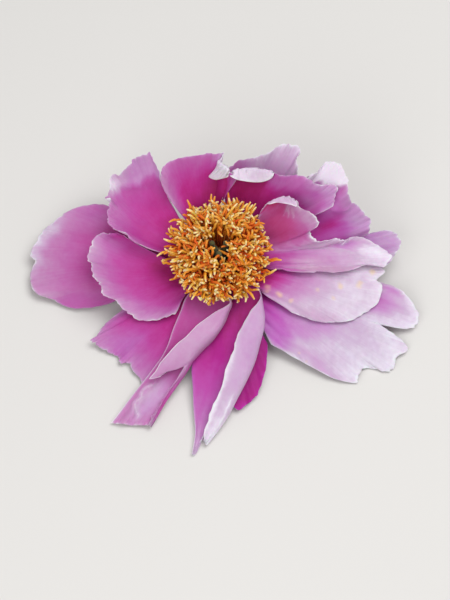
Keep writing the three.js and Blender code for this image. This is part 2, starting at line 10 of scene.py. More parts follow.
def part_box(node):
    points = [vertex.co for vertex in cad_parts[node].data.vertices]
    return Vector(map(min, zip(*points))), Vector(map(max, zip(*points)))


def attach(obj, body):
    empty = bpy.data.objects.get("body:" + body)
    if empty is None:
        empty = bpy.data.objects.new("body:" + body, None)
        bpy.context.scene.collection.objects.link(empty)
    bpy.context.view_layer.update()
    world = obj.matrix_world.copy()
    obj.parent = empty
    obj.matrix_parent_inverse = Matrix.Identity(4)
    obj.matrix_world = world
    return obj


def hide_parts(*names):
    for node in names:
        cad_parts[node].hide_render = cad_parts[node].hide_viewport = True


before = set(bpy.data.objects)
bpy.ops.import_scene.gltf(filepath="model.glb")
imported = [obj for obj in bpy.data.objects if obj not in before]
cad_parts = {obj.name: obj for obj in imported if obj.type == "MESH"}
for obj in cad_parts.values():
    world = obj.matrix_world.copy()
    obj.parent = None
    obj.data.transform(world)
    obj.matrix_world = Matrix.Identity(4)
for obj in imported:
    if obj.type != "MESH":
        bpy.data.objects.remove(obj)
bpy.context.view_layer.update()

# The petals
# Fifteen soft, satin blades of petal tissue, each grown by a narrow claw from the side of the receptacle.
# They lie on one another, from the lowest to the one on top, and their margins are waved and toothed.
SEAT_GAP = 0.3  # millimetres between pieces that touch
KNOB_RADIUS = 9
CLAW_REACH = KNOB_RADIUS + SEAT_GAP + 0.2  # to the middle of its thickness
CLAW_WIDTH = 6.5
CLAW_HEIGHT = {"outer": 14, "middle": 16, "inner": 18}
STRING_PULL = 0.38  # the length of the handles of each string's curve, as a share of its chord
FAN_SHARE = 0.5  # how far a string has turned towards its own point of the margin where it leaves the claw
ROW_CROWDING = 1.4  # over 1, the rows lie closer together towards the margin
ROWS = 48  # from claw to margin
STEPS = 8  # strings from one given point of the margin to the next
CURVE_STEPS = 12  # points from one given point of a string or a line to the next
SIDE_FRILL = 0.7  # height of the waves along a folded petal's free side
STEM_FOOT = 0.8  # height of the stem's cut end over the surface

stem_low, stem_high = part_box("stem_stub")
AXIS = (np.array(stem_low) + np.array(stem_high)) / 2
AXIS[2] = stem_low[2] - STEM_FOOT / 1000


def in_frame(points):
    """Places in millimetres from the foot of the bloom's axis, in the part's frame and in metres."""
    return np.asarray(points, float) / 1000 + AXIS


def place(bearing, reach, height):
    """The point at a bearing in degrees counter-clockwise from +X, a reach from the axis and a height."""
    angle = math.radians(bearing)
    return np.array([reach * math.cos(angle), reach * math.sin(angle), height])


def unit(vectors):
    return vectors / np.maximum(np.linalg.norm(vectors, axis=-1, keepdims=True), 1e-9)


def smoothstep(value, low, high):
    t = np.clip((value - low) / (high - low), 0, 1)
    return t * t * (3 - 2 * t)


def wander(values, turns, draw, octaves=3, faster=1.9, weaker=0.55):
    """A smooth random wave from about -1 to 1, with the given number of turns over 0 to 1."""
    total = np.zeros_like(values)
    for octave in range(octaves):
        phase = draw.uniform(0, 2 * math.pi)
        pace = turns * faster ** octave * draw.uniform(0.85, 1.15)
        total += np.sin(2 * math.pi * pace * values + phase) * weaker ** octave
    return total / 1.6


def between(before, first, second, after, share):
    """A point between the two middle ones on the centripetal curve through four points."""
    def knot(a, b):
        return np.maximum(np.linalg.norm(b - a, axis=-1, keepdims=True), 1e-6) ** 0.5
    t1 = knot(before, first)
    t2 = t1 + knot(first, second)
    t3 = t2 + knot(second, after)
    t = t1 + (t2 - t1) * share
    a1 = (before * (t1 - t) + first * t) / t1
    a2 = (first * (t2 - t) + second * (t - t1)) / (t2 - t1)
    a3 = (second * (t3 - t) + after * (t - t2)) / (t3 - t2)
    b1 = (a1 * (t2 - t) + a2 * t) / t2
    b2 = (a2 * (t3 - t) + a3 * (t - t1)) / (t3 - t1)
    return (b1 * (t2 - t) + b2 * (t - t1)) / (t2 - t1)


def through(points, steps):
    """A smooth curve through the points, with the same number of steps between each two."""
    p = np.array(points, float)
    p = np.concatenate([[2 * p[0] - p[1]], p, [2 * p[-1] - p[-2]]])
    curve = [between(*p[k:k + 4], step / steps) for k in range(len(p) - 3) for step in range(steps)]
    return np.array(curve + [p[-2]])


def spaced(points, shares):
    """Points on the curve through `points`, at shares of its length, or of a fourth value of the points."""
    points = np.array(points, float)
    dense = through(points[:, :3], CURVE_STEPS)
    run = np.concatenate([[0], np.cumsum(np.linalg.norm(np.diff(dense, axis=0), axis=1))])
    if points.shape[1] > 3:
        run = np.interp(np.arange(len(dense)) / CURVE_STEPS, np.arange(len(points)), points[:, 3])
    return np.stack([np.interp(shares * run[-1], run, dense[:, k]) for k in range(3)], 1)


def row_shares(rows):
    """The share of the way from claw to margin at each row."""
    return 1 - (1 - np.linspace(0, 1, rows + 1)) ** ROW_CROWDING


def normals_of(grid):
    """Unit normals of a grid of points, towards the petal's inner face."""
    area = np.cross(grid[1:, 1:] - grid[:-1, :-1], grid[:-1, 1:] - grid[1:, :-1])
    sums = np.zeros_like(grid)
    for rows in (slice(None, -1), slice(1, None)):
        for columns in (slice(None, -1), slice(1, None)):
            sums[rows, columns] += area
    return unit(sums)


def claw_points(petal, strings):
    """The start of each string, level on the side of the receptacle."""
    reach = petal["claw_reach"]
    spread = math.degrees(petal["claw_width"] / reach)
    bearings = petal["seat"] + spread * (np.linspace(0, 1, strings) - 0.5)
    return np.array([place(bearing, reach, petal["claw_height"]) for bearing in bearings])


def calmed(line, reach):
    """A line of points without its small bends: the mean of each point's neighbours, the ends kept."""
    places = np.arange(len(line))
    widths = np.minimum(reach, np.minimum(places, places[::-1]))
    return np.array([line[k - width:k + width + 1].mean(axis=0) for k, width in enumerate(widths)])


def open_petal(petal, rows, steps, draw):
    """One string from the claw to each point of the margin, which is cut into small uneven teeth."""
    detail = through([place(*point) for point in petal["margin"]], steps)
    strings = len(detail)
    v = np.linspace(0, 1, strings)
    claw = claw_points(petal, strings)
    bite = np.interp(v, np.linspace(0, 1, strings // 2), draw.uniform(-1, 0.8, strings // 2) ** 3)
    margin = calmed(detail, 2 * steps)
    chord = margin - claw
    level = unit(chord * [1, 1, 0])
    handle = np.linalg.norm(chord, axis=1, keepdims=True) * STRING_PULL
    leave = math.radians(petal["leave"])
    start = unit(level * FAN_SHARE + place(petal["seat"], 1, 0) * (1 - FAN_SHARE))
    start = start * math.cos(leave) + np.array([0, 0, math.sin(leave)])
    rise = np.arctan2(chord[:, 2], np.linalg.norm(chord[:, :2], axis=1))
    rise = rise + np.interp(v, np.linspace(0, 1, len(petal["arrive"])), np.radians(petal["arrive"]))
    finish = level * np.cos(rise)[:, None] + np.array([0, 0, 1]) * np.sin(rise)[:, None]
    detail = detail - margin + finish * (petal["teeth"] * bite)[:, None]
    u = row_shares(rows)[:, None, None]
    near = 3 * u * (1 - u) ** 2 * (claw + start * handle)
    far = 3 * u ** 2 * (1 - u) * (margin - finish * handle)
    curve = (1 - u) ** 3 * claw + near + far + u ** 3 * margin
    sweep = np.interp(v, np.linspace(0, 1, len(petal["sweep"])), petal["sweep"])[:, None]
    return curve + detail * u ** 8 + np.cross([0, 0, 1], level) * sweep * np.sin(math.pi * u)


def folded_petal(petal, rows, steps, draw):
    """Folded lengthwise: strings given in full, from one side margin over the fold to the jagged other."""
    strings = [spaced([[*place(*point[:3]), *point[3:]] for point in points], row_shares(rows))
               for points in petal["strings"]]
    bite = draw.uniform(-1, 1, rows // 2)
    bite = np.interp(row_shares(rows), np.linspace(0, 1, rows // 2), bite) * row_shares(rows)
    strings[-1] = strings[-1] + unit(strings[-1] - strings[-2]) * (petal["teeth"] * bite)[:, None]
    grid = np.stack([2 * strings[0] - strings[1]] + strings + [2 * strings[-1] - strings[-2]], 1)
    columns = []
    for k in range(len(strings) - 1):
        around = [grid[:, k + step] for step in range(4)]
        columns += [between(*around, step / steps) for step in range(steps)]
    return np.stack(columns + [grid[:, -2]], 1)


def margin_shares(grid):
    """The share of the margin's length at each string."""
    run = np.concatenate([[0], np.cumsum(np.linalg.norm(np.diff(grid[-1], axis=0), axis=1))])
    return run / run[-1]


def grid_place(grid, u, v):
    """Row and column of the point at a share of the way from claw to margin and a share along the margin."""
    row = np.searchsorted(row_shares(len(grid) - 1), u)
    return min(int(row), len(grid) - 1), min(int(np.searchsorted(margin_shares(grid), v)), grid.shape[1] - 1)


def turned_over(grid, flap):
    """Between two shares of its length the margin is turned over, as far as a free edge."""
    first, last = np.searchsorted(margin_shares(grid), flap["between"])
    line = [grid[-1, first], *[place(*point) for point in flap["edge"]], grid[-1, last]]
    edge = spaced(line, np.linspace(0, 1, last - first + 1))
    normals = normals_of(grid)[-1]
    shares = row_shares(len(grid) - 1)
    folded = grid.copy()
    for column in range(first + 1, last):
        string, free = grid[:, column], edge[column - first]
        outward = unit(string[-1] - string[-2])
        radius = min(flap.get("radius", 0.6), np.linalg.norm(free - string[-1]) / 4)
        turn = [string[-1], string[-1] + (outward + normals[column]) * radius,
                string[-1] + (2 * normals[column] - 0.5 * outward) * radius, free]
        beyond = through(turn, 6)[1:]
        steps = np.linalg.norm(np.diff(np.concatenate([string, beyond]), axis=0), axis=1)
        length = steps[:len(string) - 1].sum()
        at = np.concatenate([shares, 1 + np.cumsum(steps[len(string) - 1:]) / length])
        points = np.concatenate([string, beyond])
        folded[:, column] = np.stack([np.interp(shares * at[-1], at, points[:, k]) for k in range(3)], 1)
    return folded


def ridge(grid, line, height, width):
    """A sharp-backed fold along a line of [share of the way to the margin, share along the margin]."""
    line = through([[u, v, 0] for u, v in line], CURVE_STEPS)
    points = np.array([grid[grid_place(grid, u, v)] for u, v, _ in line])
    far = np.linalg.norm(grid[:, :, None] - points, axis=3)
    fade = np.interp(np.linspace(0, 1, len(points)), [0, 0.15, 0.85, 1], [0.2, 1, 1, 0.2])
    return (height * fade * np.exp(-far / width)).max(axis=2)


def puckers(grid, draw):
    """Soft, irregular swellings some 7 to 20 mm apart, most of them drawn out from claw to margin."""
    across = np.cumsum(np.linalg.norm(np.diff(grid, axis=1, prepend=grid[:, :1]), axis=2), axis=1)
    along = np.cumsum(np.linalg.norm(np.diff(grid, axis=0, prepend=grid[:1]), axis=2), axis=0)
    across = across - across[:, -1:] / 2
    total = np.zeros_like(along)
    for length in draw.uniform(7, 20, 9):
        heading, phase = draw.normal(0, 0.5), draw.uniform(0, 2 * math.pi)
        way = across * math.cos(heading) + along * math.sin(heading)
        total += np.sin(2 * math.pi * way / length + phase) * length / 20
    return total / 2


def petal_surface(petal, rows, steps, draw):
    """The middle surface of a petal, in rows from claw to margin, with its waves, puckers and folds."""
    if "strings" in petal:
        grid = folded_petal(petal, rows * 3 // 2, steps * 3, draw)
    else:
        grid = open_petal(petal, rows, steps, draw)
    u = row_shares(len(grid) - 1)[:, None]
    v = np.linspace(0, 1, grid.shape[1])[None, :]
    at_margin, at_side = np.exp((u - 1) * 18), np.exp((v - 1) * 25)
    relief = petal["waves"] * u ** 3 * wander(v, 3.5, draw, 2)
    relief = relief + petal["puckers"] * np.sin(math.pi * u ** 0.7) * puckers(grid, draw)
    relief = relief + petal["frill"] * at_margin * wander(v, 24, draw)
    if "strings" in petal:
        relief = relief + SIDE_FRILL * at_side * u * wander(u, 18, draw)
    for *line, height, width in petal["ridges"]:
        relief = relief + ridge(grid, line, height, width)
    return grid + normals_of(grid) * relief[..., None]


# Most of these points were picked by eye in the photograph, each at a guessed height, and a converter outside
# this script worked out their bearings and reaches. They aren't worked out from driving sizes.
# Places are [bearing, reach, height]. "seat" is the bearing of the claw. The strings leave it at "leave"
# degrees over the level, and meet the margin turned up from their chord by the degrees in "arrive", from
# its first point to its last. A folded petal gives whole strings, and a fourth value in them is the share of
# the way from claw to margin. "waves", "puckers", "frill" and "teeth" are heights in millimetres, and
# "sweep" bows the strings sideways by as much. A flap is the margin turned over between two shares of its
# length, out to a free edge. A ridge is a line of [share of the way, share along the margin], then its
# height and its width.
PLAIN_PETAL = {"claw_width": CLAW_WIDTH, "claw_reach": CLAW_REACH, "waves": 0.7, "puckers": 0.3,
               "frill": 0.25, "teeth": 0.9, "sweep": [0], "ridges": [], "flaps": []}
PETALS = [
    {"name": "petal_front_under", "ring": "outer", "seat": 288, "leave": -12, "arrive": [-4, -5, -5, -4],
     "puckers": 0.05,
     "margin": [
       [273, 52, 3.5], [277, 58, 2.5], [282, 56, 2.5], [286, 54, 2.5], [290, 50, 3.5], [297, 42, 5],
       [303, 36, 6.5],
     ],
    },
    {"name": "petal_lower_right", "ring": "outer", "seat": 330, "leave": -6, "arrive": [-6, -8, -8, -6],
     "puckers": 0.2,
     "margin": [
       [304, 37, 7], [310, 47, 5], [313, 54, 4], [317, 65, 2], [321, 71, 1], [323, 70, 2], [326, 70, 2],
       [328, 74, 1], [329, 78, 1], [331, 80, 1], [334, 79, 2], [338, 82, 2], [340, 79, 3], [341, 73, 4],
       [342, 67, 5], [343, 76, 4], [345, 82, 3], [348, 83, 4], [353, 78, 6], [355, 74, 7], [357, 66, 8],
     ],
    },
    {"name": "petal_outer_left", "ring": "outer", "seat": 178, "leave": 0, "arrive": [-8, -14, -14, -10],
     "margin": [
       [147.2, 46, 17], [148, 54, 16], [151.4, 60.5, 15.5], [154.6, 65.5, 14.3], [157.5, 69.2, 12.8],
       [161, 72.6, 11], [164.2, 75.4, 9.5], [168.2, 77, 8], [172.5, 78.2, 6], [174, 76.4, 6],
       [177.8, 77.5, 5], [181.6, 77, 4.3], [184.4, 75, 3.8], [187.6, 68.4, 3], [191.4, 61.7, 2.6],
       [193.2, 54.6, 3], [194.4, 46, 5],
     ],
    },
    {"name": "petal_lower_left", "ring": "outer", "seat": 222, "leave": -8, "arrive": [-8, -8, -8, -8],
     "margin": [
       [200, 34, 11], [202, 42, 8], [204.2, 49.8, 5], [206.6, 54, 3.8], [207.7, 56.8, 3.8], [208, 58.6, 4.5],
       [209, 58.2, 3.8], [210.6, 57.3, 2.6], [214, 55.7, 2], [218, 54, 2], [220, 53, 2], [223, 54.4, 2],
       [225.4, 51.7, 2], [228.6, 52.7, 2], [236, 55, 2], [241, 55, 2], [244, 49, 3], [246, 37, 6],
     ],
    },
    {"name": "petal_outer_right", "ring": "middle", "seat": 8, "leave": -4, "arrive": [5, 5, 10, 10],
     "margin": [
       [360.5, 63.1, 9], [363.3, 69.4, 11], [366.3, 72.5, 12], [368.7, 74.8, 13], [371.9, 75, 13.5],
       [374.4, 72.4, 13.5], [375.4, 65.6, 13],
     ],
    },
    {"name": "petal_back_outer", "ring": "outer", "seat": 66, "leave": 5, "arrive": [18, 22, 25, 25],
     "margin": [
       [39, 43, 34], [43.4, 43.4, 37.2], [46.8, 45.8, 38.4], [49.1, 48.3, 39.6], [51.3, 51.7, 40.8],
       [54.5, 51.2, 42], [57.4, 50.1, 41.4], [62.8, 44.4, 39.6], [68.5, 41, 38.4], [77.3, 36.7, 37.8],
       [84, 34.3, 36.6],
     ],
    },
    {"name": "petal_upper_right", "ring": "outer", "seat": 25, "leave": 5, "arrive": [20, 22, 14, 10],
     "margin": [
       [13.6, 63, 16], [15.1, 63.6, 18.5], [16.7, 64.5, 20.5], [17.8, 63.1, 22.5], [19.6, 61.8, 25],
       [21.5, 59.5, 28], [22.4, 57.4, 31], [23.9, 57, 35], [26.5, 57.4, 37.5], [29, 58.3, 39],
       [31.3, 58.5, 39.9], [33.8, 58.9, 40.8], [35, 58.1, 40.8], [36.9, 57, 40.8], [38, 55.4, 40.2],
       [38.3, 53.1, 39.6], [38.3, 49.9, 38.4], [38.8, 47.4, 37.8], [38, 45.1, 36.6],
     ],
     "ridges": [[[0.84, 0.82], [0.8, 0.7], [0.83, 0.64], [0.9, 0.59], [1.0, 0.52], 0.6, 1.5],
                [[0.78, 0.5], [0.84, 0.4], [0.95, 0.3], 0.8, 1.5]],
    },
    {"name": "petal_right", "ring": "middle", "seat": 335, "leave": 15, "arrive": [-10, -15, -10, -5],
     "margin": [
       [326, 34, 12], [327, 39, 11], [329, 44, 10], [333, 50, 9], [336, 55, 9], [341, 60, 9], [346, 64, 9],
       [351, 66, 10], [355, 66, 11], [356, 64, 12], [359, 67, 13], [361, 65, 13], [362, 55, 13],
     ],
    },
    {"name": "petal_left", "ring": "middle", "seat": 192, "leave": -5, "arrive": [20, 30, 30, 20],
     "margin": [
       [166.7, 37.9, 23.5], [166, 41.8, 25], [167.1, 44.7, 25.5], [167.6, 47.8, 25], [169.7, 50.3, 24],
       [173.5, 51.7, 23.5], [177.3, 52.2, 23], [180.7, 52.8, 22], [183.1, 51.6, 22], [185.4, 51.1, 21.5],
       [188.3, 50.6, 21], [191, 49.2, 20], [193.8, 48.3, 18.5], [195.8, 48.6, 17.5], [198.7, 46.3, 15.5],
       [201.2, 43.6, 14], [205, 42.5, 13], [209, 41, 12], [215, 39, 11], [220, 35, 11], [226, 31, 12],
       [230, 27, 13],
     ],
    },
    {"name": "petal_back", "ring": "middle", "seat": 60, "leave": 15, "arrive": [10, 15, 15, 10],
     "teeth": 0.5,
     "margin": [
       [21, 49, 33], [23.4, 50.6, 33.5], [25.6, 51.4, 34.5], [26.5, 53.1, 36], [29.9, 51.5, 37],
       [31.9, 47.8, 37.5], [34.4, 45.3, 38], [37.4, 43.3, 38], [41.7, 40.4, 39], [46.9, 38.1, 39.5],
       [51.2, 36.8, 40.3], [52.6, 36.5, 40.5], [57.7, 34.9, 41.3], [64.2, 33.2, 41.8], [72.7, 31.2, 41.6],
       [79.2, 30.1, 41.2], [82, 29.1, 40.6], [84.9, 28.1, 39], [86.4, 28.5, 34],
     ],
     "flaps": [{"between": [0.584, 0.882], "edge": [
       [51.2, 34.4, 41.3], [51.8, 33.6, 40], [55.5, 31.1, 38.8], [59.5, 29.6, 38.6], [64.1, 28.4, 38.8],
       [68.9, 27.2, 39.8], [73.9, 25.9, 41.6], [79.6, 25.9, 43],
     ]}],
    },
    {"name": "petal_front_folded", "ring": "middle", "seat": 280, "teeth": 0.5,
     "strings": [
       [
         [262.3, 9.5, 15], [250.9, 17, 13], [253, 31, 9], [255, 42, 6.5], [258, 50, 5], [260, 58, 3.5],
         [262, 68, 2.5], [262, 77, 1.5],
       ],
       [
         [280.1, 9.5, 14.5], [285.9, 16, 14], [277.1, 28, 10], [271, 41.1, 7], [268, 52, 4], [265, 62, 2.5],
         [264, 70, 1.5], [263, 77, 1],
       ],
       [
         [289.7, 9.3, 14.7], [306.6, 17, 15], [294.2, 25.7, 12], [285.2, 34.6, 9.5], [279.1, 43.4, 6.5],
         [273.3, 52.5, 4.5], [267.6, 64.2, 2.2], [264.4, 70.2, 1.4],
       ],
       [
         [299.9, 9.4, 15], [323, 20, 16], [313, 26, 14], [304, 30.9, 12], [294.9, 37, 9], [285, 45, 7],
         [272, 62, 3], [265.9, 72.1, 1.5],
       ],
       [
         [301.1, 9.5, 16.5], [322, 20, 18], [310.9, 27, 17], [303, 32, 15], [294, 38, 12], [285, 46, 10],
         [272, 62, 5.5], [265.8, 72.5, 2.6],
       ],
       [
         [299.5, 9.6, 17], [320.5, 19.9, 18.8], [316.5, 23, 19], [299.7, 25.2, 18.5], [284.6, 31.6, 16.5],
         [278.5, 38.4, 14.5], [273.4, 45, 12], [270.6, 52, 9.5], [267.6, 58.4, 7.5], [265.7, 65.3, 5.5],
         [265.1, 69.3, 4.2], [265.5, 72.2, 3.2],
       ],
     ],
    },
    {"name": "petal_front_left_folded", "ring": "middle", "seat": 242, "teeth": 0.5,
     "strings": [
       [
         [223.8, 9.5, 16], [228.1, 20, 16], [232, 25, 13], [236, 33, 11], [239, 40.9, 9], [238, 48.9, 7],
         [237, 56, 5], [236, 76, 2],
       ],
       [
         [244.3, 9.5, 15], [246.1, 15, 14], [246.9, 23, 11], [246.1, 32, 8], [244.1, 41, 6], [243, 51, 4.5],
         [242, 62, 3], [241, 73, 2],
       ],
       [
         [262.3, 9.5, 15.5, 0], [278.1, 14, 16, 0.07], [284.1, 18.1, 14, 0.13], [270, 27, 11, 0.31],
         [260.9, 35, 8, 0.42], [255, 41, 6.5, 0.51], [254.6, 42, 6.4, 0.65], [249, 57, 3.5, 0.82],
         [247, 70, 2.5, 1],
       ],
       [
         [264.3, 9.6, 17, 0], [278, 15.1, 18, 0.07], [284.9, 19, 17, 0.13], [276.6, 23.6, 16.2, 0.22],
         [269.2, 28.9, 15, 0.31], [260.9, 35.1, 13, 0.42], [255.2, 41.5, 10.5, 0.51],
         [254.4, 42.6, 10.1, 0.66], [252, 47.7, 8, 0.72], [249, 54.7, 6, 0.8], [247.9, 64, 4.2, 0.91],
         [247.3, 70.4, 3.2, 1],
       ],
       [
         [262.9, 9.4, 17.6, 0], [277.2, 15.1, 18.8, 0.07], [282.9, 19.6, 18, 0.13], [262.5, 24.6, 17.5, 0.25],
         [252.4, 30.3, 16.5, 0.33], [249, 34.9, 15.5, 0.38], [245.4, 39.1, 14.8, 0.43],
         [242.5, 44.8, 13, 0.48], [241.3, 48.5, 11.8, 0.52], [240.9, 52, 10.6, 0.55], [239.9, 54.9, 9, 0.58],
         [243.6, 51.2, 9.6, 0.61], [247.6, 47.7, 9.8, 0.64], [251.5, 44.4, 9.6, 0.67],
         [250.5, 47.9, 8.2, 0.73], [249, 53.4, 6.8, 0.79], [247.8, 60, 5.6, 0.87], [247.1, 67.6, 4.2, 0.97],
         [247.1, 69.8, 3.8, 1],
       ],
     ],
     "ridges": [[[0.62, 0.34], [0.68, 0.33], [0.71, 0.18], [0.75, 0.11], [0.8, 0.18], [0.83, 0.14],
                 [0.88, 0.23], [0.93, 0.37], [0.95, 0.36], 1.2, 1.2]],
    },
    {"name": "petal_inner_right", "ring": "inner", "seat": 12, "claw_width": 9, "leave": 14,
     "arrive": [5, 5, 10, 20, 20, 20, 20, 10],
     "margin": [
       [349.6, 33, 21], [351.3, 36.9, 20.5], [353.1, 41.1, 20], [354.2, 46.2, 19.5], [356.1, 51.9, 19],
       [358.4, 56, 18], [359.8, 61.6, 16.5], [359.4, 66.1, 15.5], [0.7, 67.9, 16.5], [3.2, 70.1, 17],
       [4.5, 68.6, 17.5], [5.7, 66.9, 18], [7.3, 64, 19], [9.1, 61.3, 20], [10.2, 57.8, 21],
       [10.4, 54.8, 21.5], [9.9, 52.3, 22], [10.2, 50.3, 22.2], [10.8, 49.2, 22.5], [10.9, 46.9, 23],
       [10.4, 44.5, 23], [10.2, 41.3, 23.5], [11.1, 39.6, 24], [13.3, 38.3, 24.8], [15.4, 37.8, 25.5],
       [16.5, 38.4, 26.3],
       [15.9, 39.6, 27.2], [16, 40.9, 28.3], [16.7, 41.8, 29.8], [17.8, 41.8, 31.3], [20.1, 40.5, 32.7],
       [23.5, 38.1, 34], [26.9, 36.1, 35.3], [30.4, 35.6, 37], [34.1, 33.8, 38], [38.2, 29.6, 38],
       [41.6, 26.3, 36.5], [43, 23.3, 35],
     ],
     "flaps": [{"between": [0.865, 0.975], "radius": 0.4, "edge": [
       [26, 34.3, 37.3], [28.6, 32.5, 37.8], [31.8, 30.4, 38], [35.8, 28.3, 37.8], [39.1, 26, 36.8],
     ]}],
     "ridges": [[[0.6, 0.5], [0.73, 0.425], [0.84, 0.321], [1.0, 0.285], 1.2, 1.5],
                [[0.82, 0.456], [0.95, 0.493], 0.8, 0.8]],
    },
    {"name": "petal_upper_left", "ring": "inner", "seat": 148, "leave": 5, "arrive": [25, 35, 35, 25],
     "waves": 0.4, "puckers": 0.2,
     "margin": [
       [130, 35, 32], [129.3, 37.5, 35], [128, 39.1, 38], [127.9, 41, 41], [128, 42.9, 43],
       [127.9, 45.2, 45.5],
       [130.9, 46.3, 44.5], [133.7, 47.1, 44], [135.5, 47.9, 43], [137.1, 47.6, 42], [140.5, 48.3, 41],
       [144, 49.7, 39], [145.9, 51.5, 39], [147.1, 51.9, 38.5], [148.9, 51.4, 37.5], [150.2, 50.4, 36],
       [152.2, 49.7, 34.5], [154.7, 50.6, 33], [153.4, 48.7, 32.5], [155.3, 48.6, 31.5], [157.2, 48.1, 30.5],
       [161.4, 47.6, 29.5], [163.7, 46.7, 28.5], [165.1, 44.9, 27], [166.7, 42.7, 26], [166.9, 38.9, 25.5],
       [170.1, 35.1, 24], [171.4, 28, 23],
     ],
     "ridges": [[[0.84, 0.11], [0.74, 0.25], [0.78, 0.36], [0.84, 0.42], [0.93, 0.5], 0.4, 1.5]],
    },
    {"name": "petal_back_left", "ring": "inner", "seat": 108, "leave": 25, "arrive": [15, 15, 20, 20],
     "teeth": 0.5,
     "margin": [
       [74.7, 26.5, 38], [76.6, 27.5, 39], [79.7, 27.5, 40.3], [81.8, 27.1, 42.3], [82.3, 28, 43.8],
       [84.3, 29.3, 44.3], [87.3, 30.6, 44.6], [89.6, 31.7, 44.2], [90.2, 32.1, 44.2], [88.2, 33.4, 45.8],
       [87, 34.5, 47], [87.7, 34.6, 47], [92.8, 34.3, 46.5], [97.1, 34.6, 46], [106.1, 35.3, 45],
       [115, 37, 44], [120.5, 38.2, 42.5], [125.3, 38.6, 40.5], [127.9, 37.9, 38.5], [129.8, 36.2, 36],
       [131.1, 32.8, 32],
     ],
     "sweep": [3, 1, 0, 0, 0, 0, 0, 0, 0],
     "flaps": [{"between": [0.11, 0.275], "edge": [
       [82, 26.2, 42.2], [86.7, 25.6, 41.4], [93, 25.9, 40], [97.6, 27.9, 38.6], [98.4, 28.6, 38.6],
       [94.4, 29.9, 40], [92, 31.1, 41.4],
     ]}],
    },
]

# Tones run from 0, the deep magenta at a petal's base, to 1, nearly white. "tones" are the inner face's and
# "back" the other's, at TONE_SHARES of the way from claw to margin. "warmth" turns the colour towards rose
# (1) or violet (-1). A patch is [share of the way, share along the margin, its two half widths in these
# shares, tone, warmth, softness of its edge]; some patches are painted light and painted shade, as noted at
# each petal. A highlight line is a painted highlight along a crease, a pleat or a crumpled ridge: its points
# in these shares, its width in millimetres and its tone. "rim" is how far the edge pales, at even shares of
# the margin: partly the margin's own paler colour, partly a painted highlight along the edge. "pollen" is
# how much lies on the face, and a stain of it is [share of the way, share along the margin, radius in
# millimetres].
# The tones were set to match readings of the photograph's colours.
TONE_SHARES = [0.2, 0.4, 0.7, 1.0]
PLAIN_LOOK = {"back": [0.5, 0.7, 0.8, 0.9], "warmth": 0.0, "rim": [1], "pollen": 0.0, "stains": [],
              "patches": [], "back_patches": [], "highlight_lines": [], "back_highlight_lines": []}
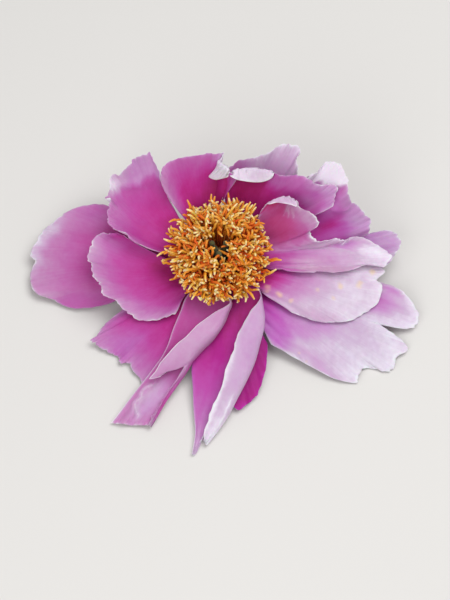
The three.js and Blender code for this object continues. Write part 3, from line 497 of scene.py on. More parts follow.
# Nine short, fine, pale streaks side by side, painted highlights on fine pleats
PLEAT_HIGHLIGHTS = [
    [[0.8 - 0.008 * k + 0.03 * (k % 3), 0.81 + 0.0065 * k],
     [0.92 - 0.008 * k - 0.03 * (k % 2), 0.84 + 0.0065 * k], 0.35, 0.72]
    for k in range(9)]
LOOKS = {
    # The front under petal is kept at the deepest tones: partly its own deep magenta, partly painted shade
    # from the folded petal that lies over it.
    "petal_front_under": {"tones": [0.0, 0.02, 0.05, 0.12], "back": [0.3, 0.3, 0.4, 0.5], "warmth": -0.7},
    "petal_lower_right": {
        "tones": [0.25, 0.6, 0.85, 0.96], "warmth": -0.5, "rim": [0.7],
        "stains": [[0.87, 0.12, 1.2], [0.95, 0.13, 1.2]],
        # Its last two patches, darker and violet, are painted shade beside the margin of the right petal over
        # it.
        "patches": [[0.48, 0.3, 0.16, 0.14, 0.72, -0.4, 1], [0.35, 0.14, 0.25, 0.18, 0.4, -0.7, 1],
                    [0.6, 0.08, 0.3, 0.1, 0.5, -0.7, 1], [0.82, 0.03, 0.2, 0.06, 0.54, -0.7, 1],
                    [0.88, 0.2, 0.2, 0.08, 0.8, -0.3, 1], [0.8, 0.86, 0.13, 0.08, 0.56, -0.3, 1],
                    [0.92, 0.95, 0.1, 0.05, 0.66, -0.3, 1]]},
    "petal_outer_left": {
        "tones": [0.2, 0.28, 0.45, 0.74], "back": [0.5, 0.6, 0.7, 0.75], "warmth": 0.2,
        "patches": [[0.85, 0.92, 0.3, 0.14, 0.45, 0, 1], [1.0, 0.42, 0.08, 0.16, 0.88, -0.3, 0.8],
                    [0.9, 0.17, 0.16, 0.12, 0.54, 0, 0.8], [0.92, 0.82, 0.12, 0.08, 0.5, 0, 0.8]]},
    "petal_lower_left": {
        "tones": [0.12, 0.18, 0.36, 0.68], "back": [0.4, 0.5, 0.6, 0.7],
        "patches": [[0.87, 0.5, 0.2, 0.1, 0.52, -0.3, 1]]},
    "petal_outer_right": {"tones": [0.3, 0.42, 0.6, 0.8], "warmth": -0.8},
    "petal_back_outer": {
        "tones": [0.3, 0.5, 0.76, 0.9], "back": [0.5, 0.6, 0.7, 0.8], "warmth": -0.2,
        "patches": [[0.95, 0.92, 0.3, 0.14, 0.6, 0, 1]]},
    "petal_upper_right": {
        "tones": [0.1, 0.25, 0.44, 0.72], "warmth": -0.3,
        # Its second patch, dark magenta, is painted shade in a pocket of the petal.
        "patches": [[1.0, 0.8, 0.2, 0.29, 1.0, 0, 0.15], [0.73, 0.27, 0.14, 0.1, 0.26, 0.1, 1],
                    [0.92, 0.52, 0.06, 0.05, 0.58, 0, 0.8], [0.8, 0.14, 0.14, 0.09, 0.5, -0.4, 1],
                    [0.94, 0.14, 0.12, 0.16, 0.78, -0.7, 1]]},
    "petal_right": {
        "tones": [0.15, 0.62, 0.86, 0.95], "pollen": 0.7, "rim": [0.5],
        "stains": [[0.71, 0.64, 2.8], [0.84, 0.68, 3], [0.73, 0.49, 2], [0.58, 0.52, 2], [0.33, 0.18, 2.5],
                   [0.48, 0.18, 2.5], [0.6, 0.2, 2], [0.93, 0.79, 2.5]],
        "patches": [[0.9, 0.2, 0.25, 0.14, 0.82, 0.1, 1]]},
    "petal_left": {
        "tones": [0.1, 0.22, 0.4, 0.76], "back": [0.4, 0.5, 0.6, 0.7],
        "patches": [[0.95, 0.02, 0.3, 0.13, 0.3, 0, 1]]},
    "petal_back": {
        # Its first patch, dark magenta, is painted shade in a deep pocket of the inner face, and its back is
        # paler than a plain back, partly painted light on the turned-over flap that shows it.
        "tones": [0.1, 0.18, 0.3, 0.62], "back": [0.88, 0.9, 0.92, 0.94],
        "patches": [[0.74, 0.7, 0.4, 0.28, 0.1, 0.1, 1], [0.97, 0.14, 0.12, 0.18, 0.74, -0.3, 0.8],
                    [0.79, 0.16, 0.12, 0.12, 0.58, 0, 1], [0.89, 0.18, 0.05, 0.05, 0.52, -0.2, 1],
                    [0.92, 0.46, 0.1, 0.16, 0.58, 0, 1]]},
    "petal_front_folded": {
        "tones": [0.14, 0.24, 0.5, 0.85], "back": [0.8, 0.78, 0.8, 0.98], "warmth": -0.3,
        "rim": [0.8, 0.6, 0.6, 0.6, 0.6, 0.6, 0.6, 0.6, 0.4],
        # Its highlight line is a painted highlight along a ridge on the part folded over.
        "back_highlight_lines": [[[0.72, 0.9], [0.85, 0.88], [0.95, 0.86], 0.5, 1.0]],
        "back_patches": [[0.85, 1.0, 0.4, 0.05, 0.98, 0, 1]]},
    "petal_front_left_folded": {
        "tones": [0.42, 0.42, 0.5, 0.66], "back": [0.7, 0.74, 0.7, 0.7], "warmth": 0.2, "pollen": 0.5,
        # Its rim is raised at both sides into painted highlights along the edges, its two highlight lines are
        # painted highlights on a crumpled ridge, and its patch, pale lilac, is painted light beside that
        # ridge.
        "rim": [2.5, 1, 1, 1, 1, 1, 1, 1, 2],
        "highlight_lines": [[[0.7, 0.4], [0.76, 0.25], [0.84, 0.22], [0.9, 0.3], 3.0, 0.8],
                  [[0.68, 0.33], [0.71, 0.17], [0.75, 0.1], [0.8, 0.17], [0.83, 0.13], [0.88, 0.22],
                   [0.93, 0.36], [0.95, 0.35], 0.6, 0.88]],
        "patches": [[0.82, 0.3, 0.14, 0.14, 0.72, -0.4, 1]],
        "back_patches": [[0.62, 0.55, 0.3, 0.12, 0.36, 0.1, 1], [0.85, 0.75, 0.12, 0.3, 0.42, 0.1, 0.8]]},
    "petal_inner_right": {
        "tones": [0.3, 0.58, 0.8, 0.88], "back": [0.5, 0.7, 0.82, 0.84], "pollen": 0.15,
        "rim": [-0.3, 0, 0.6, 0.3, 0.5, 2, 2, 1, 1],
        # Its highlight lines are painted highlights along a crease and on fine pleats. Its near-white patch
        # of tone 0.97 is painted light on the lit side of a fold, and its last patch, mauve, is painted shade
        # in that fold.
        "highlight_lines": [[[0.82, 0.456], [0.94, 0.49], 0.35, 1.0], [[0.86, 0.48], [0.97, 0.52], 0.3, 0.98],
                  *PLEAT_HIGHLIGHTS],
        "patches": [[0.58, 0.84, 0.45, 0.22, 0.38, 0.8, 0.8], [0.84, 0.7, 0.14, 0.08, 0.44, 0.4, 1],
                    [0.98, 0.79, 0.14, 0.07, 0.76, 0.2, 1], [0.9, 0.94, 0.14, 0.06, 0.26, 0.9, 0.8],
                    [0.43, 0.08, 0.2, 0.1, 0.44, -0.2, 1], [0.5, 0.28, 0.2, 0.1, 0.74, 0.3, 1],
                    [0.78, 0.13, 0.3, 0.11, 0.78, 0.6, 1], [0.72, 0.02, 0.2, 0.05, 0.52, 0, 1],
                    [0.95, 0.35, 0.13, 0.07, 0.97, -0.3, 1], [0.85, 0.45, 0.11, 0.05, 0.64, -0.4, 0.9]]},
    "petal_upper_left": {
        "tones": [0.12, 0.22, 0.42, 0.66],
        "rim": [1, 1, 1, 1, 1, 0.8, 0.5, 0.3, 0.2],
        # Its first patch, pale lilac, is painted light on the lit top of the petal, and its second and third
        # are a painted highlight on it.
        "patches": [[1.0, 0.27, 0.22, 0.22, 0.72, -0.4, 0.25], [0.97, 0.47, 0.12, 0.08, 0.82, -0.2, 0.7],
                    [0.95, 0.49, 0.06, 0.045, 0.97, -0.3, 1], [0.46, 0.65, 0.2, 0.16, 0.32, 0, 1]]},
    "petal_back_left": {
        # Its back is paler than a plain back, partly painted light on the turned-over flap that shows it.
        "tones": [0.08, 0.13, 0.28, 0.56], "back": [0.9, 0.9, 0.94, 0.96],
        "rim": [1, 1, 1, 1, 1, 1, 1, 0.5, 0.2],
        "patches": [[0.9, 0.95, 0.45, 0.14, 0.74, 0, 1], [0.97, 0.43, 0.1, 0.08, 0.8, -0.3, 1],
                    [0.62, 0.42, 0.24, 0.16, 0.08, 0, 1], [0.76, 0.17, 0.2, 0.12, 0.08, 0, 1]]},
}

# What is already laid is kept as a map of heights over the surface, one for each cell
CELL = 0.5
MAP_REACH = 95  # from the axis to each side of the map
CELLS = round(2 * MAP_REACH / CELL)
EMPTY = -50  # where nothing lies yet
LAID_THICKNESS = 0.7  # the room that each petal takes up
LAY_GAP = 0.3
FLOOR_GAP = 0.05  # under the petals that rest on the floor
LIFT_EASE = 5  # cells over which a lift fades out
STEEPEST = 0.35  # the least cosine of a slope that counts

laid = np.full((CELLS, CELLS), float(EMPTY))


def sampled(grid, cosines):
    """The grid's points and nine more in each of its squares, with the cosine of the slope at each."""
    points, weights = [grid.reshape(-1, 3)], [cosines.ravel()]
    shares = np.array([1, 3, 5]) / 6
    for s in shares:
        for t in shares:
            corners = ((1 - s) * (1 - t), s * (1 - t), (1 - s) * t, s * t)
            for field, gathered in ((grid, points), (cosines, weights)):
                quads = (field[:-1, :-1], field[1:, :-1], field[:-1, 1:], field[1:, 1:])
                mixed = sum(share * quad for share, quad in zip(corners, quads))
                gathered.append(mixed.reshape(-1, 3) if field is grid else mixed.ravel())
    return np.concatenate(points), np.concatenate(weights)


def cells_of(points):
    return tuple(np.clip(((points[:, k] + MAP_REACH) / CELL).astype(int), 0, CELLS - 1) for k in (0, 1))


def eased(need):
    """The lift that each cell needs, carried on to the cells around it and faded out."""
    for axis in (0, 1):
        need = np.max([np.roll(need, step, axis) for step in range(-LIFT_EASE, LIFT_EASE + 1)], axis=0)
    for axis in (0, 1):
        need = np.mean([np.roll(need, step, axis) for step in range(-LIFT_EASE, LIFT_EASE + 1)], axis=0)
    return need


def looked_up(field, x, y):
    """The map's values at any places, evened out between its cells."""
    x, y = ((value + MAP_REACH) / CELL - 0.5 for value in (x, y))
    i, j = np.floor(x).astype(int), np.floor(y).astype(int)
    x, y = x - i, y - j
    low = field[i, j] * (1 - x) + field[i + 1, j] * x
    high = field[i, j + 1] * (1 - x) + field[i + 1, j + 1] * x
    return low * (1 - y) + high * y


def steepness(grid):
    """The cosine of the slope at each point of a grid."""
    return np.maximum(np.abs(normals_of(grid)[..., 2]), STEEPEST)


def lay(grid, thickness):
    """Lifts a petal, where it must be, clear of those already laid."""
    points, cosines = sampled(grid, steepness(grid))
    need = np.zeros((CELLS, CELLS))
    cells = cells_of(points)
    np.maximum.at(need, cells, laid[cells] - points[:, 2] + (thickness / 2 + LAY_GAP) / cosines)
    lifted = grid.copy()
    lifted[..., 2] += looked_up(eased(need), grid[..., 0], grid[..., 1])
    lifted[..., 2] = np.maximum(lifted[..., 2], thickness / 2 + FLOOR_GAP)
    points, cosines = sampled(lifted, steepness(lifted))
    np.maximum.at(laid, cells_of(points), points[:, 2] + thickness / 2 / cosines)
    return lifted


def new_piece(name, points, faces, materials):
    """Adds a smooth mesh to the scene, from points in millimetres."""
    mesh = bpy.data.meshes.new(name)
    mesh.from_pydata(in_frame(points).tolist(), [], faces)
    for material in materials:
        mesh.materials.append(material)
    mesh.polygons.foreach_set("use_smooth", [True] * len(mesh.polygons))
    piece = bpy.data.objects.new(name, mesh)
    bpy.context.scene.collection.objects.link(piece)
    return piece


def blade(name, grid, thickness, values, materials):
    """A thin closed blade round a middle surface. Its first material is the inner face's, its second the
    back's. `values` are numbers for the material at each point, for the inner face and for the back."""
    rows, columns = grid.shape[:2]
    offset = normals_of(grid) * (thickness / 2)[..., None]
    points = np.concatenate([(grid + offset).reshape(-1, 3), (grid - offset).reshape(-1, 3)])
    inner = np.arange(rows * columns).reshape(rows, columns)
    back = inner + rows * columns
    quads = [np.stack([inner[:-1, :-1], inner[1:, :-1], inner[1:, 1:], inner[:-1, 1:]], -1).reshape(-1, 4),
             np.stack([back[:-1, :-1], back[:-1, 1:], back[1:, 1:], back[1:, :-1]], -1).reshape(-1, 4)]
    rim = np.concatenate([inner[:, 0], inner[-1, 1:], inner[-2::-1, -1], inner[0, -2:0:-1]])
    ahead = np.roll(rim, -1)
    quads.append(np.stack([rim, rim + rows * columns, ahead + rows * columns, ahead], -1))
    piece = new_piece(name, points, np.concatenate(quads).tolist(), materials)
    face, edge = len(quads[0]), len(quads[2])
    piece.data.polygons.foreach_set("material_index", [0] * face + [1] * face + [0] * edge)
    piece.data.polygons.foreach_set("use_smooth", [True] * (2 * face) + [False] * edge)
    for key, sides in values.items():
        attribute = piece.data.attributes.new(key, "FLOAT", "POINT")
        attribute.data.foreach_set("value", np.concatenate([side.ravel() for side in sides]).astype("f4"))
    return piece


def linear(colour):
    """A hex colour, such as #C060B0, as Blender's linear values."""
    channels = [int(colour[k:k + 2], 16) / 255 for k in (1, 3, 5)]
    return tuple(c / 12.92 if c <= 0.04045 else ((c + 0.055) / 1.055) ** 2.4 for c in channels) + (1,)


def add_node(tree, kind, inputs=(), output=0, **settings):
    """Adds a node with its settings and returns one of its outputs. Inputs are given in order or by name,
    each as a value, or as another node's output to link."""
    node = tree.nodes.new(kind)
    for key, value in settings.items():
        setattr(node, key, value)
    for key, value in (inputs.items() if isinstance(inputs, dict) else enumerate(inputs)):
        if isinstance(value, bpy.types.NodeSocket):
            tree.links.new(value, node.inputs[key])
        else:
            node.inputs[key].default_value = value
    return node.outputs[output]


def new_material(name, finish):
    """A material with plain values for the sockets of its surface."""
    material = bpy.data.materials.new(name)
    material.use_nodes = True
    for socket, value in finish.items():
        material.node_tree.nodes["Principled BSDF"].inputs[socket].default_value = value
    return material


def coated(material, colour, heights, strength, depth):
    """Links a material's surface to its colour, and to a relief of the given depth in millimetres."""
    tree = material.node_tree
    surface = tree.nodes["Principled BSDF"]
    relief = {"Height": heights, "Strength": strength, "Distance": depth / 1000}
    tree.links.new(colour, surface.inputs["Base Color"])
    tree.links.new(add_node(tree, "ShaderNodeBump", relief), surface.inputs["Normal"])


def set_stops(ramp, stops):
    """Gives a colour ramp its stops, from the first to the last."""
    elements = ramp.node.color_ramp.elements
    for element, (position, colour) in zip(elements, (stops[0], stops[-1])):
        element.position = position
        element.color = linear(colour)
    for position, colour in stops[1:-1]:
        elements.new(position).color = linear(colour)


def petal_tissue(name, stops, roughness, sheen, vein_strength):
    """Petal tissue: a soft satin skin that lets light through, with fine veins from claw to margin."""
    material = new_material(name, {
        "Roughness": roughness, "Specular IOR Level": 0.25, "Sheen Weight": sheen, "Sheen Roughness": 0.4,
        "Subsurface Weight": 0.3, "Subsurface Radius": (1.0, 0.35, 0.7), "Subsurface Scale": 0.0012})
    node = partial(add_node, material.node_tree)
    reading = {key: node("ShaderNodeAttribute", output="Fac", attribute_name=key)
               for key in ("tone", "warmth", "along", "across", "pollen")}
    on_petal = node("ShaderNodeTexCoord", output="Object")
    # Veins about a millimetre apart, each running the petal's whole length
    stretched = node("ShaderNodeCombineXYZ", {"X": reading["across"], "Y": reading["along"]})
    veins = node("ShaderNodeTexNoise", {"Vector": stretched, "Scale": 1.0, "Detail": 4.0})
    # Clouds of colour a centimetre across, and mottling of two millimetres
    clouds = node("ShaderNodeTexNoise", {"Vector": on_petal, "Scale": 1000 / 10, "Detail": 3.0})
    mottle = node("ShaderNodeTexNoise", {"Vector": on_petal, "Scale": 1000 / 2, "Detail": 2.0})
    tone = reading["tone"]
    for field, strength in ((veins, vein_strength), (clouds, 0.16), (mottle, 0.08)):
        centred = node("ShaderNodeMath", [field, -0.5], operation="ADD")
        tone = node("ShaderNodeMath", [centred, strength, tone], operation="MULTIPLY_ADD")
    ramp = node("ShaderNodeValToRGB", {"Fac": tone})
    set_stops(ramp, stops)
    hue = node("ShaderNodeMath", [reading["warmth"], 0.05, 0.5], operation="MULTIPLY_ADD")
    turned_hue = node("ShaderNodeHueSaturation", {"Hue": hue, "Color": ramp})
    # Pollen from the stamens lies on some petals, in faint stains and in clots about four millimetres apart
    clots = node("ShaderNodeTexNoise", {"Vector": on_petal, "Scale": 260.0, "Detail": 1.0})
    dusted = node("ShaderNodeMath", [clots, reading["pollen"]], operation="MULTIPLY")
    shown = node("ShaderNodeMapRange", {"Value": dusted, "From Min": 0.5, "From Max": 0.95, "To Max": 0.55})
    colour = node("ShaderNodeMix", {"Factor": shown, "A": turned_hue, "B": linear("#EFCF96")}, "Result",
                  data_type="RGBA")
    coated(material, colour, veins, 0.12, 0.4)
    return material


# The inner face is matt and more deeply veined, and the back has a silky sheen
PETAL_STOPS = [(0.0, "#8C1048"), (0.12, "#A01566"), (0.25, "#B02484"), (0.4, "#B5459A"), (0.55, "#B664A8"),
               (0.7, "#BE88B8"), (0.85, "#C8ABC7"), (1.0, "#E9DDEC")]
petal_face = petal_tissue("petal_tissue_inner_face", PETAL_STOPS, 0.6, 0.05, 0.09)
petal_back = petal_tissue("petal_tissue_back", PETAL_STOPS, 0.45, 0.12, 0.06)


def margin_distance(grid):
    """Rough distance of each point from the margin, in millimetres."""
    steps = np.linalg.norm(np.diff(grid, axis=0), axis=2)
    outward = np.concatenate([np.cumsum(steps[::-1], axis=0)[::-1], np.zeros((1, grid.shape[1]))])
    steps = np.linalg.norm(np.diff(grid, axis=1), axis=2)
    start = np.zeros((len(grid), 1))
    left = np.concatenate([start, np.cumsum(steps, axis=1)], axis=1)
    right = left[:, -1:] - left
    return np.minimum(outward, np.minimum(left, right))


def blotted(tone, warmth, u, v, patches):
    """Tone and warmth drawn towards those of each patch inside its edge."""
    for at_u, at_v, half_u, half_v, patch_tone, patch_warmth, softness in patches:
        off = np.hypot((u - at_u) / half_u, (v - at_v) / half_v)
        weight = 1 - smoothstep(off, 1 - softness, 1 + softness * 0.5)
        tone = tone + (patch_tone - tone) * weight
        warmth = warmth + (patch_warmth - warmth) * weight
    return tone, warmth


def painted(grid, u, v, look, draw):
    """The tone and the warmth at each point, of the inner face and then of the back."""
    edge = margin_distance(grid)
    # The rim pales each edge, partly as the margin's own paler colour and partly as a painted highlight along
    # it
    rim = np.interp(v, np.linspace(0, 1, len(look["rim"])), look["rim"])
    rim = RIM_STRENGTH * (rim * np.clip(1 + wander(v, 9, draw), 0, 2)) * np.exp(-edge / RIM_WIDTH)
    uneven_u = u + 0.02 * wander(v + 0.4 * u, 6, draw)
    uneven_v = v + 0.015 * wander(u + 0.3 * v, 5, draw)
    sides = []
    for tones, patches, highlight_lines in (("tones", "patches", "highlight_lines"), ("back", "back_patches", "back_highlight_lines")):
        tone = np.interp(uneven_u, TONE_SHARES, look[tones])
        warmth = np.full(edge.shape, look["warmth"])
        tone, warmth = blotted(tone, warmth, uneven_u, uneven_v, look[patches])
        # Each highlight line is a painted highlight along a crease, a pleat or a crumpled ridge
        for *line, width, line_tone in look[highlight_lines]:
            tone = tone + (line_tone - tone) * ridge(grid, line, 1, width)
        sides.append((tone + rim, warmth))
    return zip(*sides)


def dusted(grid, look):
    """How much pollen lies at each point: the same all over, apart from more in each stain."""
    pollen = np.full(grid.shape[:2], look["pollen"])
    for at_u, at_v, radius in look["stains"]:
        far = np.linalg.norm(grid - grid[grid_place(grid, at_u, at_v)], axis=2)
        pollen = np.maximum(pollen, STAIN_STRENGTH * np.exp(-(far / radius) ** 2))
    return pollen


VEINS_ACROSS = 0.9  # to each millimetre of the margin
VEINS_ALONG = 0.035  # and to each millimetre lengthwise, over which they hardly change
RIM_STRENGTH = 0.17  # the tone that a plain rim gains at its very edge
RIM_WIDTH = 0.5
STAIN_STRENGTH = 1.6  # of the pollen in the middle of a stain
CLAW_THICKNESS = 0.6
BLADE_THICKNESS = 0.24
CLAW_EASE = 12  # millimetres over which the claw thins to the blade
MARGIN_SHARE = 0.25  # of the blade's thickness is left at its very margin
MARGIN_EASE = 1.2
PETAL_SEED = 40

for number, petal in enumerate(PETALS):
    draw = np.random.default_rng(PETAL_SEED + number)
    petal = {**PLAIN_PETAL, "claw_height": CLAW_HEIGHT[petal["ring"]], **petal}
    look = {**PLAIN_LOOK, **LOOKS[petal["name"]]}
    grid = lay(petal_surface(petal, ROWS, STEPS, draw), LAID_THICKNESS)
    for flap in petal["flaps"]:
        grid = turned_over(grid, flap)
    u = row_shares(len(grid) - 1)[:, None]
    v = (np.linspace(0, 1, grid.shape[1]) if "strings" in petal else margin_shares(grid))[None, :]
    lengths = np.linalg.norm(np.diff(grid, axis=0), axis=2)
    along = np.concatenate([np.zeros((1, grid.shape[1])), np.cumsum(lengths, axis=0)])
    width = np.linalg.norm(np.diff(grid[-1], axis=0), axis=1).sum()
    thickness = BLADE_THICKNESS + (CLAW_THICKNESS - BLADE_THICKNESS) * np.exp(-along / CLAW_EASE)
    thickness = np.interp(margin_distance(grid), [0, MARGIN_EASE], [MARGIN_SHARE, 1]) * thickness
    tone, warmth = painted(grid, u, v, look, draw)
    pollen = dusted(grid, look)
    streak = along * VEINS_ALONG + number * 10  # so that no two petals have the same veins
    across = (v + 0 * u) * width * VEINS_ACROSS
    values = {"tone": tone, "warmth": warmth, "along": (streak, streak), "across": (across, across),
              "pollen": (pollen, 0 * pollen)}
    piece = blade(petal["name"] + "_blade", grid, thickness, values, [petal_face, petal_back])
    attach(piece, "root")
    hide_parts(petal["name"])

# The receptacle and the stub of the stem
# The fleshy green knob that every other piece grows from, and under it 5 mm of the round, faintly ribbed
# stem, cut straight across.
KNOB_TOP = 21
CALYX_RADIUS = 7
CALYX_FLOOR = 6.5
STEM_RADIUS = 3.5
STEM_TOP = CALYX_FLOOR - SEAT_GAP


def turned(name, profile, segments, material, wobble=0.0, ribs=5):
    """A closed solid turned from [radius, height] points, with a slight ribbing round it."""
    angles = np.linspace(0, 2 * math.pi, segments, endpoint=False)
    swell = 1 + wobble * np.cos(ribs * angles)
    x, y = swell * np.cos(angles), swell * np.sin(angles)
    rings = [np.stack([r * x, r * y, np.full(segments, float(z))], 1) for r, z in profile[1:-1]]
    points = np.concatenate(rings + [[[0, 0, profile[0][1]], [0, 0, profile[-1][1]]]])
    foot, top = len(points) - 2, len(points) - 1
    last = foot - segments
    faces = []
    for s in range(segments):
        t = (s + 1) % segments
        for low in range(0, last, segments):
            faces.append((low + s, low + t, low + segments + t, low + segments + s))
        faces.append((foot, t, s))
        faces.append((top, last + s, last + t))
    return new_piece(name, points, faces, [material])


def green_tissue(name, dark, light, roughness, grain, sheen=0.0):
    """Green plant skin: leathery and matt, mottled with a grain of the given size in millimetres."""
    material = new_material(name, {"Roughness": roughness, "Sheen Weight": sheen, "Sheen Roughness": 0.6})
    node = partial(add_node, material.node_tree)
    mottle = node("ShaderNodeTexNoise", {"Vector": node("ShaderNodeTexCoord", output="Object"),
                                         "Scale": 1000 / grain, "Detail": 5.0, "Roughness": 0.6})
    ramp = node("ShaderNodeValToRGB", {"Fac": mottle})
    set_stops(ramp, [(0.3, dark), (0.7, light)])
    coated(material, ramp, mottle, 0.4, 0.5)
    return material


# Pale, fleshy green with a coarse mottle
receptacle_flesh = green_tissue("receptacle_flesh", "#5F7A35", "#9DB05C", 0.6, 6)
KNOB_PROFILE = [(0, CALYX_FLOOR), (3, CALYX_FLOOR), (5, CALYX_FLOOR + 0.1), (6.5, 7.4), (CALYX_RADIUS, 8.5),
                (CALYX_RADIUS, 10.5), (7.8, 11.8), (8.8, 12.6), (KNOB_RADIUS, 13.5), (KNOB_RADIUS, 19.5),
                (8.7, KNOB_TOP - 0.4), (8, KNOB_TOP), (4, KNOB_TOP), (0, KNOB_TOP)]
receptacle = turned("receptacle_flesh_knob", KNOB_PROFILE, 64, receptacle_flesh)
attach(receptacle, "root")
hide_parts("receptacle")

# Darker and a little glossier, with fine flecks
stem_skin = green_tissue("stem_skin", "#4B6A2C", "#7F9A48", 0.5, 4)
STEM_PROFILE = [(0, STEM_FOOT), (2.4, STEM_FOOT), (3.3, STEM_FOOT + 0.05), (STEM_RADIUS, STEM_FOOT + 0.4),
                (STEM_RADIUS - 0.1, 3.5), (STEM_RADIUS, STEM_TOP - 0.4), (3.2, STEM_TOP), (0, STEM_TOP)]
stem = turned("stem_stub_skin", STEM_PROFILE, 60, stem_skin, wobble=0.02, ribs=10)
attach(stem, "root")
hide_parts("stem_stub")

# The sepals
# Five small, thick, leathery green leaves under the petals. Each grows from the receptacle's lower part and
# arches down until its tip rests on the surface.
SEPAL_COUNT = 5
SEPAL_FIRST = 20  # bearing of the first
SEPAL_CLAW_HEIGHT = 9
SEPAL_CLAW_WIDTH = 6
SEPAL_THICKNESS = 0.85
SEPAL_RIM = 0.35
SEPAL_REST = 0.62  # lowest height of its middle
SEPAL_SEED = 90
# Bearings from the middle of the leaf, reaches and heights
SEPAL_OUTLINE = [(-26, 15, 4), (-25, 20, 1.5), (-18, 24, 0.5), (0, 26, 0.5), (18, 24, 0.5), (25, 20, 1.5),
                 (26, 15, 4)]

# Matt green leather with large, soft flecks
sepal_skin = green_tissue("sepal_leather", "#4E6B30", "#89A357", 0.55, 9)
for k in range(SEPAL_COUNT):
    seat = SEPAL_FIRST + 360 / SEPAL_COUNT * k
    sepal = {**PLAIN_PETAL, "seat": seat, "claw_width": SEPAL_CLAW_WIDTH,
             "claw_reach": CALYX_RADIUS + SEAT_GAP, "claw_height": SEPAL_CLAW_HEIGHT, "leave": 5,
             "arrive": [-20, -25, -20], "teeth": 0.1, "waves": 0.3, "puckers": 0.1, "frill": 0.05,
             "margin": [(seat + bearing, reach, height) for bearing, reach, height in SEPAL_OUTLINE]}
    grid = petal_surface(sepal, 24, 6, np.random.default_rng(SEPAL_SEED + k))
    grid[..., 2] = np.maximum(grid[..., 2], SEPAL_REST)
    thickness = np.full(grid.shape[:2], SEPAL_THICKNESS)
    thickness[-1] = thickness[:, 0] = thickness[:, -1] = SEPAL_RIM
    piece = blade(f"sepal_{k + 1}_leaf", grid, thickness, {}, [sepal_skin, sepal_skin])
    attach(piece, "root")
    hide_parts(f"sepal_{k + 1}")

# The stamens
# A dense boss of several hundred: each is an orange filament that rises from a ring on the receptacle and
# carries a long, bent golden anther. The boss is hollow in the middle and leans forward.
RING_INNER = 3.4
RING_OUTER = 8.4
RING_FLOOR = KNOB_TOP + SEAT_GAP
RING_TOP = RING_FLOOR + 1.4
HEAD_INNER = 5.8
HEAD_OUTER = 18.9
HEAD_TOP = 34.5
HEAD_DROP = 7  # from the boss's middle to its outermost anthers
HEAD_LEAN = 5
ROOT_CROWDING = 0.5  # spreads the roots evenly over the ring
HEAD_CROWDING = 0.62  # and the anthers a little more thickly towards the middle
DOME_POWER = 2.2
BEARING_STRAY = 0.12  # radians
REACH_STRAY = (0.93, 1.05)  # as shares
HEIGHT_STRAY = (-3.5, 1.5)
KNEE_STRAY = 1
TUFT_PULL = 5  # at most half of this, each way
CURL = 2.6  # of an anther's tip, off its straight line
S_BEND = 0.22  # as a share of the curl
NECK_SHARE = 0.6  # of a stamen's curve is filament
ANTHER_LENGTH = 3.1
ANTHER_RADIUS = 0.54
STAMEN_COUNT = 950
GOLDEN_ANGLE = 2.39996  # radians from each stamen to the next


def stamen_material():
    """Filament and anther: orange-red thread below, then golden, powdery pollen sacs paling to their tips."""
    material = new_material("stamen_filament_and_anther", {
        "Roughness": 0.7, "Specular IOR Level": 0.3, "Subsurface Weight": 0.5,
        "Subsurface Radius": (1.0, 0.6, 0.2), "Subsurface Scale": 0.0015})
    node = partial(add_node, material.node_tree)
    shaft = node("ShaderNodeAttribute", output="Fac", attribute_name="shaft")
    kind = node("ShaderNodeAttribute", output="Fac", attribute_name="kind")
    # Pollen is too fine to show, and its powder is drawn with grains of about a millimetre
    powder = node("ShaderNodeTexNoise", {"Vector": node("ShaderNodeTexCoord", output="Object"),
                                         "Scale": 900.0, "Detail": 3.0})
    shift = node("ShaderNodeMath", [kind, 0.12, shaft], operation="MULTIPLY_ADD")
    mixed = node("ShaderNodeMath", [powder, 0.16, shift], operation="MULTIPLY_ADD")
    ramp = node("ShaderNodeValToRGB", {"Fac": node("ShaderNodeMath", [mixed, 0.9], operation="MULTIPLY")})
    set_stops(ramp, [(0.1, "#B04422"), (0.4, "#C8561C"), (0.62, "#D06212"), (0.75, "#D8781A"),
                     (0.87, "#E0932A"), (0.95, "#EEB45C"), (1.0, "#F6D2A0")])
    hue = node("ShaderNodeMath", [kind, 0.018, 0.5], operation="MULTIPLY_ADD")
    coated(material, node("ShaderNodeHueSaturation", {"Hue": hue, "Color": ramp}), powder, 0.5, 0.3)
    return material


